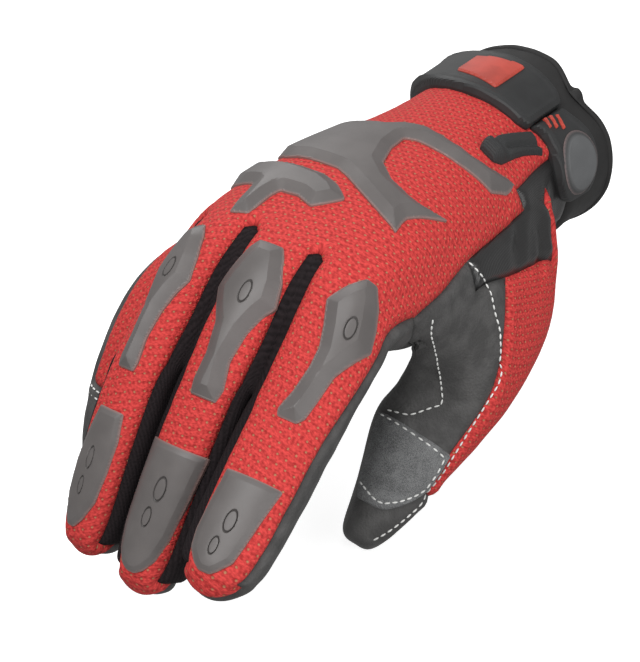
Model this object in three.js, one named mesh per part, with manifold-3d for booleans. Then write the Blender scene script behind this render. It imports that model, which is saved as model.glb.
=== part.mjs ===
// A right-hand work glove in the shape it has on a hand: palm down, fingers bent over, thumb hanging beside.
// Millimetres. The origin is the middle of the wrist opening. +Y points out of the opening, the fingers run
// towards -Y, +X is the thumb side and +Z is the back of the hand.
// The glove is one grid of quads, a ring of columns for each row of the hand, that splits into five tubes.
// Each sewn panel is a patch of that grid with the thickness of its cloth, a seam gap from its neighbours.
// Guards, strap, pull loop and patch are laid on the outside and trimmed to it.

import * as THREE from 'three';
import Module from 'manifold-3d';

// Driving dimensions
const CLOTH = 2.0;          // wall of mesh, leather and neoprene panels
const SEAM_GAP = 0.36;      // between two panels, edge to edge
const SEAT_GAP = 0.3;       // between a laid-on piece and the cloth below it
const ORIGIN = { x: -2, y: -4, z: 1.25 }; // centre of the wrist opening, moved to the finished origin
const PALM_CENTRE_X = -5;   // middle of the knuckle row
const KNUCKLE_HALF = 44.6;  // from there to the edge of the back panel
const CROTCH = 40;          // from knuckle to crotch, along the back of a finger
const STRIP_HALF = 8.2;     // half the width of the back panel on a finger
const BEND_LENGTH = 8;      // how gently the line of the back turns down at the knuckle
const CURL_AT = 50;         // where a finger's middle joint turns further
const CURL_LENGTH = 12;

// One row for each finger: the knuckle on the back, its sideways splay, the slope past the knuckle, the further
// curl of the middle joint and the roll of its back towards the thumb, all in degrees, the length from knuckle to
// tip along the back, the tube's half width and half height, and what the thumb side of its root adds.
const FINGERS = [
  { name: 'little', x: -41.5, y: -139, z: 17.5, splay: -3, slope: 43, curl: 34, roll: -22,
    length: 84, half: 10.4, rise: 10.4, extra: 0 },
  { name: 'ring', x: -16.4, y: -156, z: 32, splay: 1.2, slope: 41, curl: 20, roll: -3,
    length: 100, half: 11.1, rise: 11.8, extra: 0 },
  { name: 'middle', x: 7.3, y: -153, z: 34, splay: 2.3, slope: 43.7, curl: 9.4, roll: 5,
    length: 104, half: 11.3, rise: 12.2, extra: 0 },
  { name: 'index', x: 31, y: -148.5, z: 28.6, splay: 5.2, slope: 37, curl: 0.5, roll: 12,
    length: 92, half: 12.2, rise: 12.2, extra: 4.5 },
];

// One row for each ring of the hand, from the wrist opening to the knuckles: its place, half width, top, bottom,
// sideways shift, squareness (2 is an ellipse), how far its columns are spread evenly, as at the knuckles, how
// far the little finger's side hangs down and lies back, and how high on the thumb side the back panel ends.
const HAND = [
  { y: -4, half: 33.4, top: 34, bottom: -29.5, shift: -1.5, square: 2.0,
    even: 0, droop: 0, back: 0, edge: 0.27, lean: 0 },
  { y: -13, half: 32.8, top: 33.4, bottom: -29, shift: -1.6, square: 2.0,
    even: 0, droop: 0, back: 0, edge: 0.27, lean: 0 },
  { y: -28, half: 32, top: 33, bottom: -28.5, shift: -1.8, square: 2.0,
    even: 0, droop: 0, back: 0, edge: 0.27, lean: 0 },
  { y: -44, half: 32.5, top: 33, bottom: -28.5, shift: -1.7, square: 2.05,
    even: 0.05, droop: 1, back: 0, edge: 0.27, lean: 0 },
  { y: -62, half: 35.5, top: 33.8, bottom: -28, shift: -1.4, square: 2.1,
    even: 0.15, droop: 4, back: 0, edge: 0.27, lean: 0 },
  { y: -82, half: 39, top: 35.5, bottom: -26, shift: -1.7, square: 2.2,
    even: 0.35, droop: 10, back: 2, edge: 0.25, lean: 0 },
  { y: -102, half: 42, top: 37.5, bottom: -22, shift: -2.4, square: 2.3,
    even: 0.6, droop: 18, back: 8, edge: 0.2, lean: 2 },
  { y: -120, half: 44.5, top: 38, bottom: -17, shift: -3, square: 2.4,
    even: 0.8, droop: 27, back: 16, edge: 0.08, lean: 5 },
  { y: -137, half: 46, top: 37, bottom: -11, shift: -3.6, square: 2.5,
    even: 0.95, droop: 35, back: 24, edge: -0.05, lean: 8 },
  { y: -152, half: 47, top: 34, bottom: -4, shift: -4, square: 2.5,
    even: 1, droop: 42, back: 32, edge: -0.05, lean: 12 },
];

// Between knuckles and crotch the hand turns into fingers: how far past the knuckle, the share of the hand's
// thickness left there, how much of the finger's own form counts, how deep the valley between two fingers is,
// and at which angle round the index finger the back panel ends.
const TURN = [
  { along: 10, thick: 0.86, finger: 0.4, valley: 1.6, edge: 92 },
  { along: 20, thick: 0.76, finger: 0.75, valley: 3, edge: 84 },
  { along: 30, thick: 0.7, finger: 0.95, valley: 3.8, edge: 74 },
  { along: CROTCH, thick: 0.66, finger: 1, valley: 4.4, edge: 66 },
];
const KNUCKLE_VALLEY = 0.5;

// Rings of a finger past the crotch: share of the way to the tip, and the tube's size there.
const TUBE = [
  { share: 0.18, size: 1.0 },
  { share: 0.37, size: 1.0 },
  { share: 0.56, size: 0.99 },
  { share: 0.73, size: 0.97 },
  { share: 0.86, size: 0.9 },
  { share: 0.95, size: 0.75 },
];
const TIP_DOME = 0.55; // height of the domed end, in half widths of its ring

// Rings of the thumb: a point on its back and one on its pad, and its half thickness between them.
const THUMB = [
  { back: [47, -98, -46.5], pad: [17.5, -108, -30.5], thick: 14.5 },
  { back: [43.4, -109.5, -54.6], pad: [17, -118, -40], thick: 13.4 },
  { back: [40.5, -121.5, -61.5], pad: [20, -128.2, -50.5], thick: 12.2 },
  { back: [37.8, -131.8, -67.5], pad: [22.5, -137, -58.8], thick: 10.6 },
  { back: [34.8, -140, -71], pad: [23.8, -143.6, -65], thick: 8 },
];

// Rings between the thumb's opening and its first own ring: the share of the way, and how far the back of the
// thumb's ball bulges out there.
const THUMB_BALL = [
  { share: 0.34, bulge: 11 },
  { share: 0.68, bulge: 8.5 },
];
const BALL_OUTWARD = new THREE.Vector3(0.85, 0.25, -0.35).normalize();
const THUMB_TIP_DOME = 0.5;

const radians = THREE.MathUtils.degToRad;
const vec = (x, y, z) => new THREE.Vector3(x, y, z);
const along = (p, direction, distance) => p.clone().addScaledVector(direction, distance);
const mix = (a, b, t) => a.clone().lerp(b, t);
const rounded = (sine, power) => Math.sign(sine) * Math.abs(sine) ** (2 / power);
const otherSide = (share, power) => Math.max(0, 1 - Math.abs(share) ** power) ** (1 / power);
const logistic = (t) => 1 / (1 + Math.exp(-t));

// The line of a finger's back, a point, its direction, the outward normal and the sideways direction each mm.
const KNUCKLE_SLOPE = 10;
function backLine(finger) {
  const side = radians(finger.splay);
  const points = [];
  let p = vec(finger.x, finger.y, finger.z);
  for (let s = 0; s <= finger.length + 2; s += 1) {
    const turned = (finger.slope - KNUCKLE_SLOPE) * logistic((s - 3) / BEND_LENGTH);
    const slope = radians(KNUCKLE_SLOPE + turned + finger.curl * logistic((s - CURL_AT) / CURL_LENGTH));
    const [c, n] = [Math.cos(slope), Math.sin(slope)];
    const direction = vec(Math.sin(side) * c, -Math.cos(side) * c, -n);
    const upright = vec(Math.sin(side) * n, -Math.cos(side) * n, c);
    const normal = upright.applyAxisAngle(direction, -radians(finger.roll));
    points.push({ p, direction, normal, sideways: normal.clone().cross(direction) });
    p = along(p, direction, 1);
  }
  return points;
}
const LINES = FINGERS.map(backLine);

function lineAt(line, s) {
  const at = Math.min(Math.max(s, 0), line.length - 1.001);
  const [a, b, t] = [line[Math.floor(at)], line[Math.floor(at) + 1], at % 1];
  const blend = (key) => mix(a[key], b[key], t);
  return {
    p: blend('p'), direction: blend('direction').normalize(),
    normal: blend('normal').normalize(), sideways: blend('sideways').normalize(),
  };
}

// Angles round a finger, from the middle of its back towards the thumb side.
const FINGER_TOP = [-50, -17, 17, 50];
const FINGER_SIDE = [70, 90, 110];
const FINGER_SQUARE = 2.3;
const PAD_LIFT = 0.4; // where a fingertip narrows, its pad rises more than its back sinks

function fingerPoint(f, s, angle, size = 1) {
  const finger = FINGERS[f];
  const at = lineAt(LINES[f], s);
  const x = rounded(Math.sin(radians(angle)), FINGER_SQUARE);
  const z = rounded(Math.cos(radians(angle)), FINGER_SQUARE);
  const centre = along(at.p, at.normal, -finger.rise * (size + PAD_LIFT * (1 - size)));
  const half = finger.half * size + (x > 0 ? finger.extra * (1 - s / finger.length) : 0);
  return along(along(centre, at.sideways, half * x), at.normal, finger.rise * size * z);
}

// Columns of the hand, round from the little finger's side over the back, down the thumb side and back below.
// A column stands over finger f, at place j of four across it, or (j is 4) over the valley beside it.
const across = [];
for (let f = 0; f < 4; f += 1) for (let j = 0; j < (f < 3 ? 5 : 4); j += 1) across.push({ f, j });
const COLUMNS = [
  ...across.map((c) => ({ ...c, place: 'top' })),
  ...[0, 1, 2].map((k) => ({ f: 3, k, place: 'thumb side' })),
  ...[...across].reverse().map((c) => ({ ...c, place: 'bottom' })),
  ...[2, 1, 0].map((k) => ({ f: 0, k, place: 'little side' })),
];
const COLUMN_COUNT = COLUMNS.length;
const BOTTOM_FIRST = across.length + 3;
const columnOf = (f, j, place) => {
  const fromLittle = f * 5 + j;
  return place === 'top' ? fromLittle : BOTTOM_FIRST + across.length - 1 - fromLittle;
};
const THUMB_SIDE = across.length;          // first column of the thumb side
const LITTLE_SIDE = BOTTOM_FIRST + across.length; // first column of the little finger's side, from below
const SIDE_HEIGHTS = [0.27, 0, -0.27];
const FOUR = [-1, -1 / 3, 1 / 3, 1];

// How far across the knuckle row a column stands, from -1 to 1.
function shareAcross({ f, j }) {
  const at = (g, k) => (FINGERS[g].x + FOUR[k] * STRIP_HALF - PALM_CENTRE_X) / KNUCKLE_HALF;
  return j < 4 ? at(f, j) : (at(f, 3) + at(f + 1, 0)) / 2;
}

const EDGE_ANGLE = 64;
const EDGE_SHARE = 0.918;
const SIDE_FOOT = -0.53; // height share of the first column below, under the thumb side
function sectionShares(column, row) {
  if (column.place.endsWith('side')) {
    const onThumbSide = row.edge + (SIDE_FOOT - row.edge) * (column.k / 3);
    const height = column.place === 'thumb side' ? onThumbSide : SIDE_HEIGHTS[column.k];
    const reach = otherSide(height, row.square);
    return [column.place === 'thumb side' ? reach : -reach, height];
  }
  const u = shareAcross(column);
  const x = (1 - row.even) * Math.sin(radians(EDGE_ANGLE * u)) + row.even * EDGE_SHARE * u;
  return [x, otherSide(x, row.square) * (column.place === 'top' ? 1 : -1)];
}

const NOTCH = { x: 20, half: 8, depth: 7 }; // dip of the cuff's edge beside the strap
const notchAt = (x, z) => (z > 0 ? NOTCH.depth * Math.exp(-(((x - NOTCH.x) / NOTCH.half) ** 2)) : 0);

const DROOP_FROM = 0.1;
const PALM_DROOP = 0.4;
function handPoint(row, column) {
  const [x, z] = sectionShares(column, row);
  const notch = row === HAND[0] ? notchAt(row.shift + row.half * x, z) : 0;
  const middle = (row.top + row.bottom) / 2;
  const under = (1 - z) / 2;
  const hang = Math.max(0, -x - DROOP_FROM) ** 2;
  const droop = row.droop * hang * (PALM_DROOP + (1 - PALM_DROOP) * (z + 1) / 2);
  const y = row.y + row.back * hang + row.lean * under - notch;
  return vec(row.shift + row.half * x, y, middle + ((row.top - row.bottom) / 2) * z - droop);
}

// A point of a turning row: the knuckle row's point carried down the line of the finger that its column stands
// over, and mixed with that finger's own form.
function turnPoint(turn, column) {
  const start = LINES[column.f][0];
  const from = handPoint(HAND[HAND.length - 1], column).sub(start.p);
  const at = lineAt(LINES[column.f], turn.along);
  const ahead = along(at.p, at.direction, from.dot(start.direction) * (1 - turn.along / CROTCH));
  const over = along(ahead, at.sideways, from.dot(start.sideways));
  const hand = along(over, at.normal, from.dot(start.normal) * turn.thick);
  return mix(hand, fingerPoint(column.f, turn.along, angleOn(column, turn.edge)), turn.finger);
}

const INDEX_EDGE = 62; // angle on the index finger where the back panel ends
const INDEX_SIDE = [0, 1, 2].map((k) => INDEX_EDGE + ((180 - FINGER_TOP[3] - INDEX_EDGE) * k) / 3);
function angleOn(column, edge) {
  if (column.place === 'top') return FINGER_TOP[column.j];
  if (column.place === 'bottom') return 180 - FINGER_TOP[column.j];
  if (column.place === 'thumb side') return edge + ((180 - FINGER_TOP[3] - edge) * column.k) / 3;
  return -FINGER_SIDE[column.k];
}

// The grid of the glove's outside: points, and quads that each name their panel.
const points = [];
const quads = [];
const add = (p) => points.push(p) - 1;
const quad = (a, b, c, d, panel) => quads.push({ corners: [a, b, c, d], panel });

const isValley = (column) => column.j === 4 && !column.place.endsWith('side');

function handRings() {
  const rings = HAND.map((row) => COLUMNS.map((column) => add(handPoint(row, column))));
  TURN.forEach((turn) => {
    const ring = COLUMNS.map((column) => (isValley(column) ? null : add(turnPoint(turn, column))));
    COLUMNS.forEach((column, c) => {
      if (!isValley(column)) return;
      const middle = mix(points[ring[c - 1]], points[ring[c + 1]], 0.5);
      const normal = lineAt(LINES[column.f], turn.along).normal;
      ring[c] = add(along(middle, normal, column.place === 'top' ? -turn.valley : turn.valley * 0.35));
    });
    rings.push(ring);
  });
  const knuckles = rings[HAND.length - 1];
  COLUMNS.forEach((column, c) => {
    if (isValley(column) && column.place === 'top') points[knuckles[c]].z -= KNUCKLE_VALLEY;
  });
  return rings;
}

// Which panel a quad of the hand belongs to, from its row and the column that it starts at.
const CUFF_ROWS = 2;
const KNUCKLE_ROW = HAND.length - 1;
const GUSSET_END_ROW = 4;
const LITTLE_LEATHER_ROW = 8; // from here on, leather comes up round the little finger's side
function handPanel(row, c) {
  if (row < CUFF_ROWS) return 'cuff';
  if (row >= LITTLE_LEATHER_ROW && c === 0) return 'palm_panel';
  if (c < THUMB_SIDE - 1) {
    const [left, right] = [COLUMNS[c], COLUMNS[c + 1]];
    const inValley = isValley(left) || isValley(right);
    return inValley && row >= KNUCKLE_ROW ? `fourchette_${left.f + 1}` : 'back_panel';
  }
  if (row < GUSSET_END_ROW && c < BOTTOM_FIRST) return 'wrist_gusset';
  return c === THUMB_SIDE - 1 ? 'back_panel' : 'palm_panel';
}

// The thumb grows out of an opening in the grid, from the end of the back panel to the palm.
const HOLE_ROWS = [3, 8];
const HOLE_COLUMNS = [THUMB_SIDE, BOTTOM_FIRST];
const inThumbHole = (row, c) => (
  row >= HOLE_ROWS[0] && row < HOLE_ROWS[1] && c >= HOLE_COLUMNS[0] && c < HOLE_COLUMNS[1]
);

function handQuads(rings) {
  for (let row = 0; row + 1 < rings.length; row += 1) {
    for (let c = 0; c < COLUMN_COUNT; c += 1) {
      if (inThumbHole(row, c)) continue;
      const next = (c + 1) % COLUMN_COUNT;
      quad(rings[row][c], rings[row + 1][c], rings[row + 1][next], rings[row][next], handPanel(row, c));
    }
  }
}

// The strip between two fingers on its way down: shares from the back to the palm, and how far it bulges out.
const SADDLE = [
  { share: 0.25, forward: 0.8 },
  { share: 0.5, forward: 1.2 },
  { share: 0.75, forward: 0.8 },
];

// The first ring of each finger, from its own columns and from the saddle between it and its neighbour.
function fingerRoots(last) {
  const sides = [0, 1, 2].map((f) => {
    const left = FINGER_SIDE.map((angle) => add(fingerPoint(f, CROTCH + 3, angle)));
    const right = FINGER_SIDE.map((angle) => add(fingerPoint(f + 1, CROTCH + 3, -angle)));
    const top = columnOf(f, 4, 'top');
    const bottom = columnOf(f, 4, 'bottom');
    const saddle = SADDLE.map(({ share, forward }) => {
      const middle = mix(points[last[top]], points[last[bottom]], share);
      return add(along(middle, lineAt(LINES[f], CROTCH).direction, forward));
    });
    const l = [last[top - 1], ...left, last[bottom + 1]];
    const m = [last[top], ...saddle, last[bottom]];
    const r = [last[top + 1], ...right, last[bottom - 1]];
    for (let k = 0; k < 4; k += 1) {
      quad(l[k], l[k + 1], m[k + 1], m[k], `fourchette_${f + 1}`);
      quad(m[k], m[k + 1], r[k + 1], r[k], `fourchette_${f + 1}`);
    }
    return { left, right };
  });
  return FINGERS.map((finger, f) => {
    const own = (j, place) => last[columnOf(f, j, place)];
    const thumbSide = f === 3 ? [0, 1, 2].map((k) => last[THUMB_SIDE + k]) : sides[f].left;
    const outer = [0, 1, 2].map((k) => last[LITTLE_SIDE + k]);
    const littleSide = f === 0 ? outer : [...sides[f - 1].right].reverse();
    return [
      ...[0, 1, 2, 3].map((j) => own(j, 'top')), ...thumbSide,
      ...[3, 2, 1, 0].map((j) => own(j, 'bottom')), ...littleSide,
    ];
  });
}

const fingerAngles = (f) => [
  ...FINGER_TOP,
  ...(f === 3 ? INDEX_SIDE : FINGER_SIDE),
  ...[...FINGER_TOP].reverse().map((angle) => 180 - angle),
  ...[...FINGER_SIDE].reverse().map((angle) => -angle),
];

// The palm's leather comes up round the little finger's outer side, and from this band on over most of its back.
const LEATHER_FROM = 2;
function fingerPanel(f, k, bandNumber) {
  if (f === 0 && (k === 0 || (k === 1 && bandNumber >= LEATHER_FROM))) return 'palm_panel';
  if (k < 3 || (f === 3 && k === 3)) return 'back_panel';
  if (k < 7) return f === 3 ? 'palm_panel' : `fourchette_${f + 1}`;
  if (k < 10 || f === 0) return 'palm_panel';
  return `fourchette_${f}`;
}

// Joins two rings of equal length with quads.
function band(near, far, panelAt) {
  near.forEach((a, k) => {
    const next = (k + 1) % near.length;
    quad(a, far[k], far[next], near[next], panelAt(k));
  });
}

// Closes a ring with a domed grid of quads, wide quads across and deep quads down.
function dome(ring, wide, deep, centre, outward, height, panelAt) {
  const grid = Array.from({ length: deep + 1 }, () => new Array(wide + 1));
  const half = wide + deep;
  for (let i = 0; i <= wide; i += 1) {
    grid[0][i] = ring[i];
    grid[deep][wide - i] = ring[half + i];
  }
  for (let d = 1; d < deep; d += 1) {
    grid[d][wide] = ring[wide + d];
    grid[deep - d][0] = ring[half + wide + d];
  }
  for (let d = 1; d < deep; d += 1) {
    for (let i = 1; i < wide; i += 1) {
      const down = mix(points[grid[0][i]], points[grid[deep][i]], d / deep);
      const over = mix(points[grid[d][0]], points[grid[d][wide]], i / wide);
      const flat = mix(down, over, 0.5);
      const reach = Math.max(Math.abs((2 * i) / wide - 1), Math.abs((2 * d) / deep - 1));
      const spread = mix(centre, flat, 1.12);
      grid[d][i] = add(along(spread, outward, height * Math.sqrt(1 - 0.75 * reach * reach)));
    }
  }
  for (let d = 0; d < deep; d += 1) {
    for (let i = 0; i < wide; i += 1) {
      quad(grid[d][i], grid[d + 1][i], grid[d + 1][i + 1], grid[d][i + 1], panelAt(d, i));
    }
  }
}

function fingerTube(root, f) {
  let near = root;
  const finger = FINGERS[f];
  TUBE.forEach(({ share, size }, bandNumber) => {
    const s = CROTCH + share * (finger.length - CROTCH);
    const ring = fingerAngles(f).map((angle) => add(fingerPoint(f, s, angle, size)));
    band(near, ring, (k) => fingerPanel(f, k, bandNumber));
    near = ring;
  });
  const last = TUBE[TUBE.length - 1];
  const at = lineAt(LINES[f], CROTCH + last.share * (finger.length - CROTCH));
  const centre = along(at.p, at.normal, -finger.rise);
  const height = finger.half * last.size * TIP_DOME;
  dome(near, 3, 4, centre, at.direction, height, (d) => (d < 2 && f > 0 ? 'back_panel' : 'palm_panel'));
}

// The thumb's root goes once round its opening: down the wrist's side, along the palm, up the side of the
// index finger and back along the edge of the back panel.
function thumbRoot(rings) {
  const [first, last] = HOLE_ROWS;
  const [dorsal, palmar] = HOLE_COLUMNS;
  const root = [];
  for (let c = dorsal; c < palmar; c += 1) root.push(rings[first][c]);
  for (let row = first; row < last; row += 1) root.push(rings[row][palmar]);
  for (let c = palmar; c > dorsal; c -= 1) root.push(rings[last][c]);
  for (let row = last; row > first; row -= 1) root.push(rings[row][dorsal]);
  return root;
}

function thumbFrames() {
  const ends = THUMB.map((ring) => ({ back: vec(...ring.back), pad: vec(...ring.pad) }));
  const centres = ends.map(({ back, pad }) => mix(back, pad, 0.5));
  return THUMB.map((ring, i) => {
    const [a, b] = [centres[Math.max(i - 1, 0)], centres[Math.min(i + 1, THUMB.length - 1)]];
    const direction = b.clone().sub(a).normalize();
    const nail = ends[i].back.clone().sub(ends[i].pad);
    const wide = nail.length() / 2;
    nail.normalize();
    const outer = nail.clone().cross(direction).normalize();
    return { ...ring, wide, centre: centres[i], direction, nail, outer };
  });
}
const THUMB_FRAMES = thumbFrames();
const THUMB_TURN = -12; // angle from the nail at which the root starts, in degrees
const THUMB_SQUARE = 2.2;
const THUMB_BACK_END = 5; // bands from the root to where the thumb's back panel ends

// Where the gusset ends, the ball's first row lies closer to the root: its shares by place round the root.
const GUSSET_SHARES = { 13: 0.12, 14: 0.17, 15: 0.2, 0: 0.25, 1: 0.3 };

function thumbPanel(k, bandNumber, count) {
  if (bandNumber === 0 && k >= count - 3) return 'wrist_gusset';
  const onBack = k >= count - 2 || k < 2;
  return onBack && bandNumber < THUMB_BACK_END ? 'thumb_back' : 'thumb_front';
}

// Between thumb and index the grid is turned edge on, so there its points settle between their neighbours.
const WEB = { from: 6, to: 11, rings: 4, rounds: 6 };
function relax(all) {
  for (let round = 0; round < WEB.rounds; round += 1) {
    for (let i = 1; i < WEB.rings; i += 1) {
      for (let k = WEB.from; k <= WEB.to; k += 1) {
        const near = [all[i - 1][k], all[i + 1][k], all[i][k - 1], all[i][k + 1]];
        const sum = near.reduce((total, j) => total.add(points[j]), vec(0, 0, 0));
        points[all[i][k]].lerp(sum.multiplyScalar(1 / near.length), 0.6);
      }
    }
  }
}

function thumbTube(rings) {
  const root = thumbRoot(rings);
  const angleAt = (k) => radians(THUMB_TURN + (k / root.length) * 360);
  const tubePoint = (frame, k) => {
    const wide = frame.wide * rounded(Math.cos(angleAt(k)), THUMB_SQUARE);
    const thick = frame.thick * rounded(Math.sin(angleAt(k)), THUMB_SQUARE);
    return along(along(frame.centre, frame.nail, wide), frame.outer, thick);
  };
  const ball = THUMB_BALL.map(({ share, bulge }, i) => root.map((index, k) => {
    const own = i === 0 && k in GUSSET_SHARES ? GUSSET_SHARES[k] : share;
    const out = bulge * (own / share) ** 0.8;
    const straight = mix(points[index], tubePoint(THUMB_FRAMES[0], k), own);
    return add(along(straight, BALL_OUTWARD, out * (0.5 + 0.5 * Math.cos(angleAt(k)))));
  }));
  const own = THUMB_FRAMES.map((frame) => root.map((index, k) => add(tubePoint(frame, k))));
  const all = [root, ...ball, ...own];
  relax(all);
  for (let i = 0; i + 1 < all.length; i += 1) band(all[i], all[i + 1], (k) => thumbPanel(k, i, root.length));
  const last = THUMB_FRAMES[THUMB_FRAMES.length - 1];
  const near = all[all.length - 1];
  const turned = [...near.slice(14), ...near.slice(0, 14)];
  dome(turned, 4, 4, last.centre, last.direction, last.wide * THUMB_TIP_DOME, () => 'thumb_front');
}

const rings = handRings();
handQuads(rings);
const roots = fingerRoots(rings[rings.length - 1]);
roots.forEach(fingerTube);
thumbTube(rings);

const edgesOf = (corners) => corners.map((a, k) => [a, corners[(k + 1) % corners.length]]);

const normals = points.map(() => vec(0, 0, 0));
quads.forEach(({ corners }) => {
  const [a, b, c, d] = corners.map((i) => points[i]);
  const n = c.clone().sub(a).cross(d.clone().sub(b));
  corners.forEach((i) => normals[i].add(n));
});
normals.forEach((n) => n.normalize());

// Directions into the cloth: the normals, evened out over the neighbours so that narrow folds keep their wall.
const into = normals.map((n) => n.clone());
for (let round = 0; round < 2; round += 1) {
  const next = into.map((n) => n.clone().multiplyScalar(2));
  quads.forEach(({ corners }) => edgesOf(corners).forEach(([a, b]) => {
    next[a].addScaledVector(into[b], 0.5);
    next[b].addScaledVector(into[a], 0.5);
  }));
  into.forEach((n, i) => n.copy(next[i].normalize()));
}

// The edges that only one quad of a patch has, each in the order in which its quad goes round.
function borderOf(patch) {
  const border = new Map();
  patch.forEach((corners) => edgesOf(corners).forEach(([a, b]) => {
    if (!border.delete(`${b} ${a}`)) border.set(`${a} ${b}`, [a, b]);
  }));
  return [...border.values()];
}

// How far each vertex on a patch's border moves, so that both its border edges draw in by a distance.
function drawnIn(border, distance) {
  const inward = new Map();
  border.forEach(([a, b]) => {
    const edge = points[b].clone().sub(points[a]);
    [a, b].forEach((i) => {
      const side = normals[i].clone().cross(edge).normalize();
      inward.set(i, [...(inward.get(i) ?? []), side]);
    });
  });
  return new Map([...inward].map(([i, sides]) => {
    const sum = sides.reduce((total, side) => total.add(side), vec(0, 0, 0));
    const mitre = sides.length === 2 ? 1 + sides[0].dot(sides[1]) : sides.length;
    return [i, sum.multiplyScalar(distance / Math.max(mitre, 0.5))];
  }));
}

const COLOURS = {
  mesh: { color: 0xc8323a, roughness: 0.85 },
  leather: { color: 0x33302e, roughness: 0.7 },
  knit: { color: 0x2a2224, roughness: 0.95 },
  neoprene: { color: 0x2b2826, roughness: 0.9 },
  guard: { color: 0x6a6563, roughness: 0.5 },
  rubber: { color: 0x3a3b3c, roughness: 0.45 },
  pad: { color: 0x727272, roughness: 0.5 },
  suede: { color: 0x4b4e50, roughness: 0.95 },
};

const glove = new THREE.Group();

function addMesh(name, finish, positions, triangles) {
  const geometry = new THREE.BufferGeometry();
  geometry.setAttribute('position', new THREE.Float32BufferAttribute(positions, 3));
  geometry.setIndex(triangles);
  geometry.translate(-ORIGIN.x, -ORIGIN.y, -ORIGIN.z);
  geometry.computeVertexNormals();
  const mesh = new THREE.Mesh(geometry, new THREE.MeshStandardMaterial({ metalness: 0, ...COLOURS[finish] }));
  mesh.name = name;
  glove.add(mesh);
}

const splitQuad = (a, b, c, d) => [a, b, c, a, c, d];
const flat = (list) => list.flatMap((p) => [p.x, p.y, p.z]);

const wasm = await Module();
wasm.setup();
function solidOf(positions, triangles) {
  return new wasm.Manifold(new wasm.Mesh({
    numProp: 3, vertProperties: new Float32Array(positions), triVerts: new Uint32Array(triangles),
  }));
}

function largest(solid) {
  return solid.decompose().reduce((best, part) => (part.volume() > best.volume() ? part : best));
}

function addSolid(name, finish, solid) {
  const mesh = largest(solid).getMesh();
  addMesh(name, finish, [...mesh.vertProperties], [...mesh.triVerts]);
}

// A patch of the grid with the thickness of its cloth, from the outside in, swollen all round by a distance.
function panelSolid(name, swell = 0) {
  const patch = quads.filter((q) => q.panel === name).map((q) => q.corners);
  const border = borderOf(patch);
  const move = drawnIn(border, SEAM_GAP / 2 - swell);
  const used = [...new Set(patch.flat())];
  const place = new Map(used.map((i, k) => [i, k]));
  const flush = used.map((i) => points[i].clone().add(move.get(i) ?? vec(0, 0, 0)));
  const outside = used.map((i, k) => along(flush[k], normals[i], swell));
  const inside = used.map((i, k) => along(flush[k], into[i], -CLOTH - swell));
  const under = (i) => place.get(i) + used.length;
  const triangles = patch.flatMap((corners) => {
    const [a, b, c, d] = corners;
    const top = [a, b, c, d].map((i) => place.get(i));
    return [...splitQuad(...top), ...splitQuad(under(a), under(d), under(c), under(b))];
  });
  const rim = border.flatMap(([a, b]) => splitQuad(place.get(a), under(a), under(b), place.get(b)));
  return solidOf(flat([...outside, ...inside]), [...triangles, ...rim]);
}

const PANELS = [
  ['back_panel', 'mesh'], ['palm_panel', 'leather'], ['fourchette_1', 'knit'], ['fourchette_2', 'knit'],
  ['fourchette_3', 'knit'], ['thumb_back', 'mesh'], ['thumb_front', 'leather'], ['wrist_gusset', 'knit'],
  ['cuff', 'neoprene'],
];
// In narrow folds the inner faces of two panels can meet, so each panel keeps clear of the ones before it.
const CLEAR = 0.25;
PANELS.forEach(([name, finish], i) => {
  const before = PANELS.slice(0, i).flatMap(([other]) => [panelSolid(other), panelSolid(other, CLEAR)]);
  addSolid(name, finish, before.reduce((solid, other) => solid.subtract(other), panelSolid(name)));
});

// The glove's outside as one closed body, swollen by the gap that laid-on pieces keep.
function swollen(distance) {
  const list = points.map((p, i) => along(p, normals[i], distance));
  const triangles = quads.flatMap((q) => splitQuad(...q.corners));
  const rim = rings[0];
  const middle = list.push(vec(0, points[rim[0]].y, 0)) - 1;
  rim.forEach((a, k) => triangles.push(a, rim[(k + 1) % rim.length], middle));
  return solidOf(flat(list), triangles);
}
const skin = swollen(SEAT_GAP);

// Where a ray first meets the glove's outside, and the outward normal there.
const faces = quads.flatMap(({ corners: [a, b, c, d] }) => [[a, b, c], [a, c, d]]);
function touch(from, towards) {
  const ray = new THREE.Ray(from, towards.clone().normalize());
  let best = null;
  faces.forEach((face) => {
    const [a, b, c] = face.map((i) => points[i]);
    const at = ray.intersectTriangle(a, b, c, true, vec(0, 0, 0));
    if (at && (!best || at.distanceTo(from) < best.at.distanceTo(from))) best = { at, face };
  });
  if (!best) throw new Error('a laid-on piece misses the glove');
  const weights = THREE.Triangle.getBarycoord(best.at, ...best.face.map((i) => points[i]), vec(0, 0, 0));
  const normal = vec(0, 0, 0);
  best.face.forEach((i, k) => normal.addScaledVector(normals[i], weights.getComponent(k)));
  return { at: best.at, normal: normal.normalize() };
}

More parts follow.
